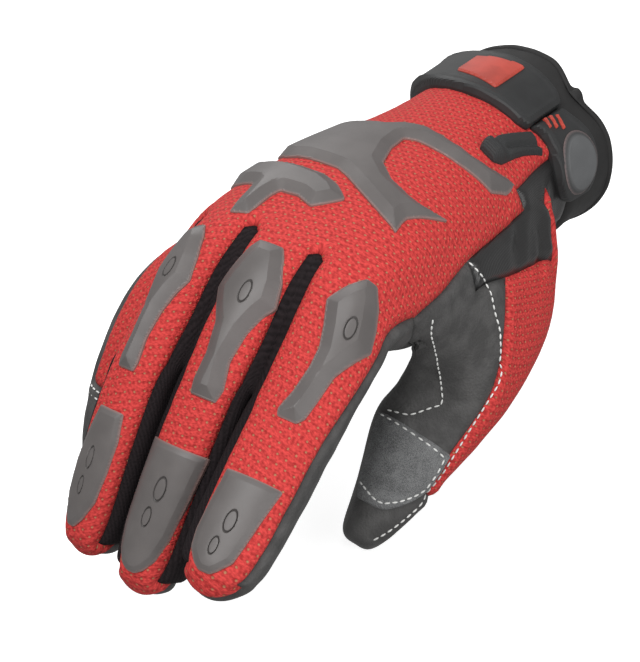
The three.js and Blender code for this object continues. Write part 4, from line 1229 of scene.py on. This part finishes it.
def on_strap(name, nodes, slot, outline, height, pitch=0.7, **settings):
    """A piece laid round the wrist."""
    moulded(name, outline, on_wrist, height, (nodes, slot, material(slot)), pitch=pitch, **settings)


def strap_pieces():
    thick = sizes("guards").strap
    sunk = PLATE_DEPTH - thick
    flat_strap = slab(thick, 1.2, rim=0.35)
    at = [math.radians(angle) * WRIST_RADIUS for angle, _ in STRAP_EXTRA]

    def strap_height(points, off):
        extra = np.interp(points[:, 0], at, [more for _, more in STRAP_EXTRA])
        return flat_strap(points, off) + extra * np.clip(off / 2.5, 0.3, 1)
    on_strap("strap", ["wrist_strap"], "strap_rubber", round_wrist(STRAP), strap_height)
    badge_height = slab(thick + BADGE_RISE, 0.35, base=thick)
    on_strap("badge", ["strap_badge"], "red_patch", round_wrist(BADGE), badge_height, sunk=sunk)
    on_strap("tab", ["strap_tab"], "strap_rubber", round_wrist(TAB), slab(thick, 1.4, rim=0.3))
    middle, spread = (math.radians(angle) * WRIST_RADIUS for angle in (PAD.angle, PAD.spread))
    pad = Oval(middle, PAD.y, spread, PAD.half, 0)
    groove = Oval(pad.u, pad.v, pad.half_u * 0.97, pad.half_v * 0.96, 0)
    on_strap("pad", ["strap_pad"], "grip_pad", [tuple(p) for p in oval_line(pad, 1.0, 60)],
             slab(thick + PAD_RISE, 2.2, base=thick), sunk=sunk, ovals=(groove,))
    for number, (first, last, y) in enumerate(BARS, 1):
        low, high = (math.radians(angle) * WRIST_RADIUS for angle in (first, last))
        far = y - BAR_SLANT
        bar = [(low, y - BAR_HALF), (high, far - BAR_HALF), (high, far + BAR_HALF), (low, y + BAR_HALF)]
        bar_height = slab(thick + BAR_RISE, 0.3, base=thick)
        on_strap(f"strap_bar_{number}", [], "red_patch", bar, bar_height, pitch=0.3, corner=1, sunk=sunk)
    band = slab(2.2, 0.9)

    def loop_height(points, off):
        x, y = points[:, 0], points[:, 1]
        roll, dip = (
            wave.height * np.exp(-(((y - wave.y) / wave.width) ** 2)) for wave in (LOOP_ROLL, LOOP_DIP)
        )
        middle = np.interp(y, *zip(*sorted((along, (a + b) / 2) for along, a, b in LOOP)))
        across = (x - middle - LOOP_FOLD.off) / LOOP_FOLD.width
        fold = LOOP_FOLD.depth * np.exp(-(across ** 2)) * np.clip((y - LOOP_FOLD.end) / 2, 0, 1)
        lift = roll * np.clip(off / 1.6, 0, 1) - dip - fold
        return np.maximum(band(points, off) + lift, LOOP_LEAST)
    moulded("loop", from_rows(LOOP), on_back, loop_height,
            (["pull_loop"], "webbing", material("webbing")), pitch=0.5)


# Millimetres for a degree round the thumb and for a ring along it.
PATCH_SCALE = (0.22, 12.0)
PATCH_HEIGHT = 0.9


def on_patch(u, v):
    return on_thumb(u / PATCH_SCALE[0], v / PATCH_SCALE[1])


def thumb_patch():
    round_it, along = PATCH_SCALE
    rows = [(t * along, left * round_it, right * round_it) for t, left, right in TIP_PATCH]
    moulded("thumb_patch", from_rows(rows), on_patch, slab(PATCH_HEIGHT, 0.5),
            (["thumb_tip_patch"], "suede", material("suede")), pitch=0.6, sunk=0.6)


# Stitches

Seam = namedtuple("Seam", "name points")
SEAMS = (
    Seam("thumb_corner", [
        (42, -125, 8), (43, -125, 2), (41, -120, -10), (38, -113, -24), (39, -113, -31), (36, -116, -32),
        (32, -120, -34), (24, -121, -35),
    ]),
    Seam("thumb_back", [
        (39, -101, 14), (43.5, -96.2, 4), (48, -95.7, -9), (50.5, -96.4, -18), (50.5, -99, -26),
        (46.5, -110.5, -40.5), (45, -116, -47), (44, -121, -52), (41, -130, -59), (39, -139, -63),
        (36, -145, -65),
    ]),
)
# Seams placed on a piece's own axes: on the thumb's patch, and across the little finger's back.
PATCH_SEAM = [
    (207, 1.06), (240, 1.08), (280, 1.1), (308, 1.13), (312, 1.5), (311, 2), (298, 2.36), (283, 2.66),
    (266, 2.88), (252, 2.92), (212, 2.66),
]
LITTLE_SEAMS = {"little_upper": 57.6, "little_lower": 59.8}
LITTLE_SEAM_ENDS = (-9.5, 3.5)


def snapped(line, pitch):
    """Even points along a line, each moved onto the cloth, with the cloth's normal there."""
    seats = []
    for p in evenly(line, pitch, closed=False):
        hit = skin().tree.find_nearest(Vector(p))
        seats.append(Seat(hit[0], hit[1]))
    return seats


def stitch_tree():
    """Lays a stitch on each point of a mesh, turned by its along and up attributes."""
    tree = bpy.data.node_groups.new("Stitches", "GeometryNodeTree")
    for name, way, kind in (
        ("Geometry", "INPUT", "Geometry"), ("Length", "INPUT", "Float"), ("Radius", "INPUT", "Float"),
        ("Thread", "INPUT", "Material"), ("Geometry", "OUTPUT", "Geometry"),
    ):
        tree.interface.new_socket(name, in_out=way, socket_type=f"NodeSocket{kind}")
    nodes, links = tree.nodes, tree.links
    given = nodes.new("NodeGroupInput")
    result = nodes.new("NodeGroupOutput")
    bead = nodes.new("GeometryNodeMeshUVSphere")
    bead.inputs["Segments"].default_value = 8
    bead.inputs["Rings"].default_value = 6
    bead.inputs["Radius"].default_value = 1.0
    half = nodes.new("ShaderNodeMath")
    half.operation = "MULTIPLY"
    half.inputs[1].default_value = 0.5
    sizes_of = nodes.new("ShaderNodeCombineXYZ")
    turn = nodes.new("FunctionNodeAxesToRotation")
    turn.primary_axis = "X"
    turn.secondary_axis = "Z"
    for name, socket in (("along", "Primary Axis"), ("up", "Secondary Axis")):
        attribute = nodes.new("GeometryNodeInputNamedAttribute")
        attribute.data_type = "FLOAT_VECTOR"
        attribute.inputs["Name"].default_value = name
        links.new(attribute.outputs["Attribute"], turn.inputs[socket])
    points = nodes.new("GeometryNodeMeshToPoints")
    place = nodes.new("GeometryNodeInstanceOnPoints")
    real = nodes.new("GeometryNodeRealizeInstances")
    painted = nodes.new("GeometryNodeSetMaterial")
    for source, output, target, socket in (
        (given, "Length", half, 0), (half, 0, sizes_of, "X"),
        (given, "Radius", sizes_of, "Y"), (given, "Radius", sizes_of, "Z"),
        (given, "Geometry", points, "Mesh"), (points, "Points", place, "Points"),
        (bead, "Mesh", place, "Instance"), (turn, "Rotation", place, "Rotation"),
        (sizes_of, "Vector", place, "Scale"), (place, "Instances", real, "Geometry"),
        (real, "Geometry", painted, "Geometry"), (given, "Thread", painted, "Material"),
        (painted, "Geometry", result, "Geometry"),
    ):
        links.new(source.outputs[output], target.inputs[socket])
    return tree


def sewn(name, seats, thread):
    """Stitches on a row of places on the cloth."""
    stitches = sizes("stitches")
    tree = bpy.data.node_groups.get("Stitches") or stitch_tree()
    middles = [(a.point + b.point) / 2 for a, b in zip(seats, seats[1:])]
    runs = [(b.point - a.point).normalized() for a, b in zip(seats, seats[1:])]
    ups = [(a.normal + b.normal).normalized() for a, b in zip(seats, seats[1:])]
    lifted = [p + n * stitches.radius * 0.5 for p, n in zip(middles, ups)]
    mesh = loose_mesh(name, lifted, [])
    for key, values in (("along", runs), ("up", ups)):
        attribute = mesh.attributes.new(key, "FLOAT_VECTOR", "POINT")
        attribute.data.foreach_set("vector", [x for v in values for x in v])
    carrier = bpy.data.objects.new("carrier", mesh)
    bpy.context.scene.collection.objects.link(carrier)
    modifier = carrier.modifiers.new("Stitches", "NODES")
    modifier.node_group = tree
    inputs = {
        item.name: item.identifier for item in tree.interface.items_tree
        if item.item_type == "SOCKET" and item.in_out == "INPUT"
    }
    modifier[inputs["Length"]] = stitches.length
    modifier[inputs["Radius"]] = stitches.radius
    modifier[inputs["Thread"]] = thread
    graph = bpy.context.evaluated_depsgraph_get()
    made = bpy.data.meshes.new_from_object(carrier.evaluated_get(graph))
    bpy.data.objects.remove(carrier)
    return finish_piece(made, name, [], None, thread)


# Materials

SOCKETS = {"sheen_weight": "Sheen Weight", "specular_ior_level": "Specular IOR Level"}


class Shader:
    """A material while its nodes are being joined."""

    def __init__(self, name, base, roughness, **uniform):
        self.made = bpy.data.materials.new(name)
        self.made.use_nodes = True
        self.nodes = self.made.node_tree.nodes
        self.links = self.made.node_tree.links
        self.surface = self.nodes["Principled BSDF"]
        self.surface.inputs["Base Color"].default_value = (*base, 1)
        self.surface.inputs["Roughness"].default_value = roughness
        for socket, value in uniform.items():
            self.surface.inputs[SOCKETS[socket]].default_value = value

    def node(self, kind, values, output=0, **properties):
        made = self.nodes.new(kind)
        for key, value in properties.items():
            setattr(made, key, value)
        for socket, value in values:
            if isinstance(value, bpy.types.NodeSocket):
                self.links.new(value, made.inputs[socket])
            else:
                made.inputs[socket].default_value = value
        return made.outputs[output]

    def math(self, operation, *values):
        return self.node("ShaderNodeMath", enumerate(values), operation=operation)

    def place(self, weave):
        """Millimetres on the flattened panel, or in the object's own axes."""
        if weave:
            return self.node("ShaderNodeUVMap", (), uv_map="weave")
        own = self.node("ShaderNodeTexCoord", (), "Object")
        return self.node("ShaderNodeVectorMath", ((0, own), ("Scale", 1000.0)), operation="SCALE")

    def noise(self, where, scale, detail=2.0):
        values = (("Vector", where), ("Scale", scale), ("Detail", detail))
        return self.node("ShaderNodeTexNoise", values, "Fac")

    def fade(self, value, low, high, to_low=0.0, to_high=1.0):
        values = ((0, value), (1, low), (2, high), (3, to_low), (4, to_high))
        return self.node("ShaderNodeMapRange", values, interpolation_type="SMOOTHSTEP")

    def tint(self, factor, a, b):
        values = ((0, factor), (6, a if isinstance(a, bpy.types.NodeSocket) else (*a, 1)),
                  (7, b if isinstance(b, bpy.types.NodeSocket) else (*b, 1)))
        return self.node("ShaderNodeMix", values, 2, data_type="RGBA")

    def paint(self, value):
        self.links.new(value, self.surface.inputs["Base Color"])

    def bump(self, height, distance, strength=1.0):
        values = (("Height", height), ("Distance", distance * MM), ("Strength", strength))
        self.links.new(self.node("ShaderNodeBump", values), self.surface.inputs["Normal"])


def darker(base, share):
    return tuple(c * share for c in base)


# The red fabric: distance between its rows and between the pinholes in a row, the rows' slant, and its tones.
MESH_ROW = 2.5
MESH_HOLE = 3.1
MESH_SLANT = (0.976, 0.215)
MESH_KNOTS = 4.05
HOLE_TONE = (0.4, 0.19, 0.1)


def red_mesh(base):
    """Rows of short slanting knots with staggered pinholes between the rows. The raised knots and ridges
    carry a painted highlight and the hollows painted shade, mixed with streaks of tone.
    """
    shader = Shader("red_mesh", base, 0.75, specular_ior_level=0.2)
    where = shader.place(True)
    split = shader.node("ShaderNodeSeparateXYZ", ((0, where),), 0)
    u, v = split, split.node.outputs[1]
    drift = shader.math("MULTIPLY", shader.noise(where, 0.12), 1.6)
    c, n = MESH_SLANT
    along = shader.math("ADD", shader.math("MULTIPLY", u, c), shader.math("MULTIPLY", v, n))
    over = shader.math("SUBTRACT", shader.math("MULTIPLY", v, c), shader.math("MULTIPLY", u, n))
    row = shader.math("DIVIDE", shader.math("ADD", over, drift), MESH_ROW)
    number = shader.math("FLOOR", shader.math("ADD", row, 0.5))
    beside = shader.math("SUBTRACT", row, number)
    shift = shader.math("MULTIPLY", shader.math("MODULO", number, 2.0), 0.5)
    cell = shader.math("FRACT", shader.math("ADD", shader.math("DIVIDE", along, MESH_HOLE), shift))
    dx = shader.math("MULTIPLY", shader.math("SUBTRACT", cell, 0.5), 7.0)
    dy = shader.math("MULTIPLY", beside, 6.4)
    squares = (shader.math("POWER", way, 2.0) for way in (dx, dy))
    reach = shader.math("SQRT", shader.math("ADD", *squares))
    hole = shader.fade(reach, 0.5, 1.1, 1.0, 0.0)
    lean = shader.math("MULTIPLY", beside, 3.4)
    knots = shader.math("SINE", shader.math("ADD", shader.math("MULTIPLY", along, MESH_KNOTS), lean))
    swell = shader.math("COSINE", shader.math("MULTIPLY", beside, 2 * math.pi))
    streak_place = shader.node("ShaderNodeCombineXYZ", ((0, shader.math("MULTIPLY", along, 0.8)),
                                                       (1, shader.math("MULTIPLY", over, 1.5))))
    streaks = shader.noise(streak_place, 1.0, 3.0)
    # Painted light: the relief's height also sets the colour. The raised knots and the ridges between the
    # rows of pinholes get a painted highlight, and the hollows along those rows get painted shade. The
    # streaks add tone at random.
    raised = shader.math("ADD", shader.math("MULTIPLY", knots, 0.06), shader.math("MULTIPLY", swell, -0.08))
    light = shader.math("ADD", raised, streaks)
    lit_crest_red = (min(1, base[0] * 1.3), base[1] * 1.9, base[2] * 1.8)
    body = shader.tint(shader.fade(light, 0.2, 0.8), darker(base, 0.62), lit_crest_red)
    shader.paint(shader.tint(shader.math("MULTIPLY", hole, 0.85), body, HOLE_TONE))
    shader.bump(shader.math("SUBTRACT", light, shader.math("MULTIPLY", hole, 0.25)), 0.5)
    return shader.made


def leather(base):
    shader = Shader("leather", base, 0.62, specular_ior_level=0.35)
    where = shader.place(False)
    cells = shader.node("ShaderNodeTexVoronoi", (("Vector", where), ("Scale", 1.1)), "Distance", feature="F1")
    blotches = shader.noise(where, 0.16, 4.0)
    fine = shader.noise(where, 2.6, 3.0)
    shader.paint(shader.tint(shader.fade(blotches, 0.35, 0.7), darker(base, 0.85), darker(base, 1.35)))
    shader.bump(shader.math("ADD", shader.math("MULTIPLY", cells, 0.8), fine), 0.16)
    return shader.made


def knit(base):
    """Fine lengthwise ribs with a soft nap."""
    shader = Shader("knit", base, 0.9, specular_ior_level=0.15)
    where = shader.place(True)
    u = shader.node("ShaderNodeSeparateXYZ", ((0, where),), 0)
    nap = shader.noise(where, 1.8, 4.0)
    wander = shader.math("MULTIPLY", nap, 2.4)
    ribs = shader.math("SINE", shader.math("ADD", shader.math("MULTIPLY", u, 5.8), wander))
    mix = shader.math("ADD", shader.math("MULTIPLY", ribs, 0.14), shader.math("MULTIPLY", nap, 1.2))
    shader.paint(shader.tint(shader.fade(mix, 0.1, 1.1), darker(base, 0.45), darker(base, 1.5)))
    shader.bump(mix, 0.2)
    return shader.made


def satin(base):
    """Smooth stretch cloth with a faint fine weave."""
    shader = Shader("satin", darker(base, 0.9), 0.34, specular_ior_level=0.6)
    where = shader.place(True)
    u = shader.node("ShaderNodeSeparateXYZ", ((0, where),), 0)
    weave = shader.math("SINE", shader.math("MULTIPLY", u, 9.0))
    shader.bump(shader.math("ADD", shader.math("MULTIPLY", weave, 0.3), shader.noise(where, 2.0, 3.0)), 0.08)
    return shader.made


def grained(name, base, roughness, scale, depth, spread=0.25, marks=False, **uniform):
    """A plain surface with a fine grain and a slight unevenness of colour. Where asked, its outer edge is
    tinted lighter and its oval grooves get painted shade.
    """
    shader = Shader(name, base, roughness, **uniform)
    where = shader.place(False)
    fine = shader.noise(where, scale, 3.0)
    broad = shader.noise(where, 0.12, 3.0)
    colours = shader.tint(shader.fade(broad, 0.3, 0.7), darker(base, 1 - spread), darker(base, 1 + spread))
    if marks:
        mark = shader.node("ShaderNodeAttribute", (), "Fac", attribute_name="mark")
        rim = shader.node("ShaderNodeAttribute", (), "Fac", attribute_name="rim")
        edge = (base[0] * 2.3, base[1] * 1.5, base[2] * 1.4)
        colours = shader.tint(shader.math("MULTIPLY", rim, 0.85), colours, edge)
        # Painted shade: the oval grooves are painted much darker.
        colours = shader.tint(shader.math("MULTIPLY", mark, 0.8), colours, darker(base, 0.2))
    shader.paint(colours)
    shader.bump(fine, depth)
    return shader.made


def suede(base):
    shader = Shader("suede", base, 0.9, sheen_weight=0.05)
    where = shader.place(False)
    speckle = shader.noise(where, 3.4, 4.0)
    broad = shader.noise(where, 0.25, 3.0)
    shade = shader.math("ADD", shader.math("MULTIPLY", speckle, 0.7), shader.math("MULTIPLY", broad, 0.3))
    shader.paint(shader.tint(shader.fade(shade, 0.34, 0.66), darker(base, 0.5), darker(base, 1.5)))
    shader.bump(speckle, 0.12)
    return shader.made


def webbing(base):
    """A woven band, ribbed across."""
    shader = Shader("webbing", base, 0.7)
    where = shader.place(False)
    v = shader.node("ShaderNodeSeparateXYZ", ((0, where),), 1)
    ribs = shader.math("MULTIPLY", shader.math("SINE", shader.math("MULTIPLY", v, 11.0)), 0.3)
    shader.paint(shader.tint(shader.fade(ribs, -0.3, 0.3), darker(base, 0.9), darker(base, 1.4)))
    shader.bump(shader.math("ADD", ribs, shader.noise(where, 2.5, 3.0)), 0.14)
    return shader.made


WOVEN = {
    "red_mesh": (red_mesh, "red"), "leather": (leather, "leather"), "knit": (knit, "knit"),
    "suede": (suede, "suede"), "webbing": (webbing, "strap"), "satin": (satin, "neoprene"),
}
Plain = namedtuple("Plain", "tone share roughness scale depth spread marks")
PLAIN = {
    "neoprene": Plain("neoprene", 1, 0.75, 3.0, 0.05, 0.2, False),
    "guard_rubber": Plain("guard", 1, 0.5, 4.0, 0.02, 0.07, True),
    "strap_rubber": Plain("strap", 1, 0.6, 3.5, 0.04, 0.15, False),
    "red_patch": Plain("patch", 1, 0.5, 3.0, 0.03, 0.15, False),
    "grip_pad": Plain("strap", 5.4, 0.6, 2.2, 0.06, 0.08, True),
    "thread": Plain("thread", 1, 0.7, 6.0, 0.03, 0.1, False),
}


@lru_cache(maxsize=None)
def material(name):
    if name in WOVEN:
        make, tone = WOVEN[name]
        return make(getattr(sizes("tones"), tone))
    plain = PLAIN[name]
    base = darker(getattr(sizes("tones"), plain.tone), plain.share)
    return grained(name, base, plain.roughness, plain.scale, plain.depth, plain.spread, marks=plain.marks)


# Pieces in the order of the panel's buttons

PANEL_SLOTS = {
    "back_panel": ("red_mesh", (0, 1, 0)),
    "palm_panel": ("leather", (0, 1, 0)),
    "fourchette_1": ("knit", (0, 0.7, 0.7)),
    "fourchette_2": ("knit", (0, 0.7, 0.7)),
    "fourchette_3": ("knit", (0, 0.7, 0.7)),
    "thumb_back": ("red_mesh", (0, 0.6, 0.8)),
    "thumb_front": ("leather", (0, 1, 0)),
    "wrist_gusset": ("knit", (0, 1, 0)),
    "cuff": ("neoprene", (0, 1, 0)),
}


class GLOVE_OT_cloth(bpy.types.Operator):
    """Build the sewn panels of cloth and leather"""
    bl_idname = "glove.cloth"
    bl_label = "Cloth panels"
    bl_options = {"REGISTER", "UNDO"}

    def execute(self, context):
        for name, (slot, toward) in PANEL_SLOTS.items():
            panel(name, slot, material("satin" if name == "wrist_gusset" else slot), toward)
        cuff_hem()
        return {"FINISHED"}


class GLOVE_OT_guards(bpy.types.Operator):
    """Build the moulded guards on fingers and back"""
    bl_idname = "glove.guards"
    bl_label = "Guards"
    bl_options = {"REGISTER", "UNDO"}

    def execute(self, context):
        finger_guards()
        back_guards()
        return {"FINISHED"}


class GLOVE_OT_strap(bpy.types.Operator):
    """Build the wrist strap with its badge, tab, pad, bars and pull loop"""
    bl_idname = "glove.strap"
    bl_label = "Strap"
    bl_options = {"REGISTER", "UNDO"}

    def execute(self, context):
        strap_pieces()
        return {"FINISHED"}


class GLOVE_OT_patch(bpy.types.Operator):
    """Build the patch on the thumb's tip"""
    bl_idname = "glove.patch"
    bl_label = "Thumb patch"
    bl_options = {"REGISTER", "UNDO"}

    def execute(self, context):
        thumb_patch()
        return {"FINISHED"}


class GLOVE_OT_stitches(bpy.types.Operator):
    """Sew the white seams"""
    bl_idname = "glove.stitches"
    bl_label = "Stitches"
    bl_options = {"REGISTER", "UNDO"}

    def execute(self, context):
        pitch, thread = sizes("stitches").pitch, material("thread")
        for seam in SEAMS:
            sewn(f"stitches_{seam.name}", snapped(seam.points, pitch), thread)
        line = [(angle * PATCH_SCALE[0], t * PATCH_SCALE[1]) for angle, t in PATCH_SEAM]
        seats = [on_patch(*p) for p in evenly(line, pitch, closed=False)]
        sewn("stitches_patch", [Seat(s.point + s.normal * PATCH_HEIGHT, s.normal) for s in seats], thread)
        for name, along in LITTLE_SEAMS.items():
            across = evenly([(u, along) for u in LITTLE_SEAM_ENDS], pitch, closed=False)
            sewn(f"stitches_{name}", [on_finger(0)(*p) for p in across], thread)
        return {"FINISHED"}


Lamp = namedtuple("Lamp", "name place target size energy")
LAMPS = (
    Lamp("key_light", (0.15, -0.55, 0.75), (0, -0.1, 0), 0.5, 6.5),
    Lamp("fill_light", (0.7, -0.2, 0.15), (0, -0.1, -0.02), 0.5, 2.0),
    Lamp("rim_light", (-0.6, 0.3, 0.5), (0, -0.1, 0), 0.4, 2.5),
)
SKY = 0.42
FLOOR = -0.079
FLOOR_RADIUS = 5.8
BACKDROP_RADIUS = 6.0
# The camera: azimuth, elevation and roll in degrees, its place, and its focal length in picture pixels.
VIEW_ANGLES = (38.23, 33.85, -0.95)
EYE = Vector((293.72, -496.20, 304.13))
FOCAL = 1868.49
PICTURE_HEIGHT = 662
SENSOR = 36


def set_camera(scene):
    azimuth, elevation, roll = (math.radians(a) for a in VIEW_ANGLES)
    level = Vector((math.cos(azimuth), math.sin(azimuth), 0))
    low = math.cos(elevation)
    back = Vector((math.sin(azimuth) * low, -math.cos(azimuth) * low, math.sin(elevation)))
    rise = back.cross(level)
    right = level * math.cos(roll) + rise * math.sin(roll)
    up = rise * math.cos(roll) - level * math.sin(roll)
    camera = bpy.data.objects.new("camera", bpy.data.cameras.new("camera"))
    camera.data.sensor_fit = "VERTICAL"
    camera.data.sensor_height = SENSOR
    camera.data.lens = FOCAL / PICTURE_HEIGHT * SENSOR
    camera.data.clip_start = 0.01
    turned = Matrix((right, up, back)).transposed().to_4x4()
    camera.matrix_world = Matrix.Translation((EYE - ORIGIN) * MM) @ turned
    scene.collection.objects.link(camera)
    scene.camera = camera


def set_lamp(scene, lamp):
    data = bpy.data.lights.new(lamp.name, "AREA")
    data.energy = lamp.energy
    data.size = lamp.size
    light = bpy.data.objects.new(lamp.name, data)
    light.location = lamp.place
    light.rotation_euler = (Vector(lamp.target) - light.location).to_track_quat("-Z", "Y").to_euler()
    scene.collection.objects.link(light)


def surroundings(scene, name, mesh, tone, roughness, glow, hidden_from):
    """A glowing white or pale surface that only some rays see."""
    made = bpy.data.materials.new(name)
    made.use_nodes = True
    surface = made.node_tree.nodes["Principled BSDF"].inputs
    surface["Base Color"].default_value = (tone, tone, tone, 1)
    surface["Roughness"].default_value = roughness
    surface["Emission Color"].default_value = (1, 1, 1, 1)
    surface["Emission Strength"].default_value = glow
    mesh.materials.append(made)
    obj = bpy.data.objects.new(name, mesh)
    scene.collection.objects.link(obj)
    for ray in hidden_from:
        setattr(obj, f"visible_{ray}", False)
    return obj


class GLOVE_OT_stage(bpy.types.Operator):
    """Set the camera, the lights and the white surroundings"""
    bl_idname = "glove.stage"
    bl_label = "Stage"
    bl_options = {"REGISTER", "UNDO"}

    def execute(self, context):
        scene = bpy.context.scene
        set_camera(scene)
        for lamp in LAMPS:
            set_lamp(scene, lamp)
        world = scene.world or bpy.data.worlds.new("surroundings")
        scene.world = world
        world.use_nodes = True
        world.node_tree.nodes["Background"].inputs["Color"].default_value = (1, 1, 1, 1)
        world.node_tree.nodes["Background"].inputs["Strength"].default_value = SKY
        ball = bmesh.new()
        bmesh.ops.create_icosphere(ball, subdivisions=3, radius=BACKDROP_RADIUS)
        mesh = bpy.data.meshes.new("backdrop")
        ball.to_mesh(mesh)
        ball.free()
        hidden_from = ("diffuse", "glossy", "transmission", "volume_scatter", "shadow")
        backdrop = surroundings(scene, "backdrop", mesh, 0.0, 0.5, 1.0, hidden_from)
        turns = [math.radians(angle) for angle in range(0, 360, 6)]
        corners = [(math.cos(turn) * FLOOR_RADIUS, math.sin(turn) * FLOOR_RADIUS, FLOOR) for turn in turns]
        mesh = bpy.data.meshes.new("floor")
        mesh.from_pydata(corners, [], [tuple(range(len(corners)))])
        floor = surroundings(scene, "floor", mesh, 0.8, 0.9, 0.7, hidden_from[:3])
        scene.view_settings.view_transform = "Standard"
        return {"FINISHED"}


STEPS = (GLOVE_OT_cloth, GLOVE_OT_guards, GLOVE_OT_strap, GLOVE_OT_patch, GLOVE_OT_stitches, GLOVE_OT_stage)
GROUPS = {"cloth": ClothSizes, "guards": GuardSizes, "stitches": StitchSizes, "tones": GloveColours}


class GLOVE_PT_panel(bpy.types.Panel):
    """Sizes, colours and one button for each group of pieces"""
    bl_idname = "GLOVE_PT_panel"
    bl_label = "Work glove"
    bl_space_type = "VIEW_3D"
    bl_region_type = "UI"
    bl_category = "Glove"

    def draw(self, context):
        for name, group in GROUPS.items():
            box = self.layout.box()
            for key in group.__annotations__:
                box.prop(getattr(context.scene, name), key)
        for step in STEPS:
            self.layout.operator(step.bl_idname)


def register():
    for kind in (*GROUPS.values(), *STEPS, GLOVE_PT_panel):
        bpy.utils.register_class(kind)
    for name, group in GROUPS.items():
        setattr(bpy.types.Scene, name, bpy.props.PointerProperty(type=group))


def unregister():
    for name in GROUPS:
        delattr(bpy.types.Scene, name)
    for kind in reversed((*GROUPS.values(), *STEPS, GLOVE_PT_panel)):
        bpy.utils.unregister_class(kind)


def main():
    register()
    bpy.ops.glove.cloth()
    bpy.ops.glove.guards()
    bpy.ops.glove.strap()
    bpy.ops.glove.patch()
    bpy.ops.glove.stitches()
    bpy.ops.glove.stage()


if __name__ == "__main__":
    main()
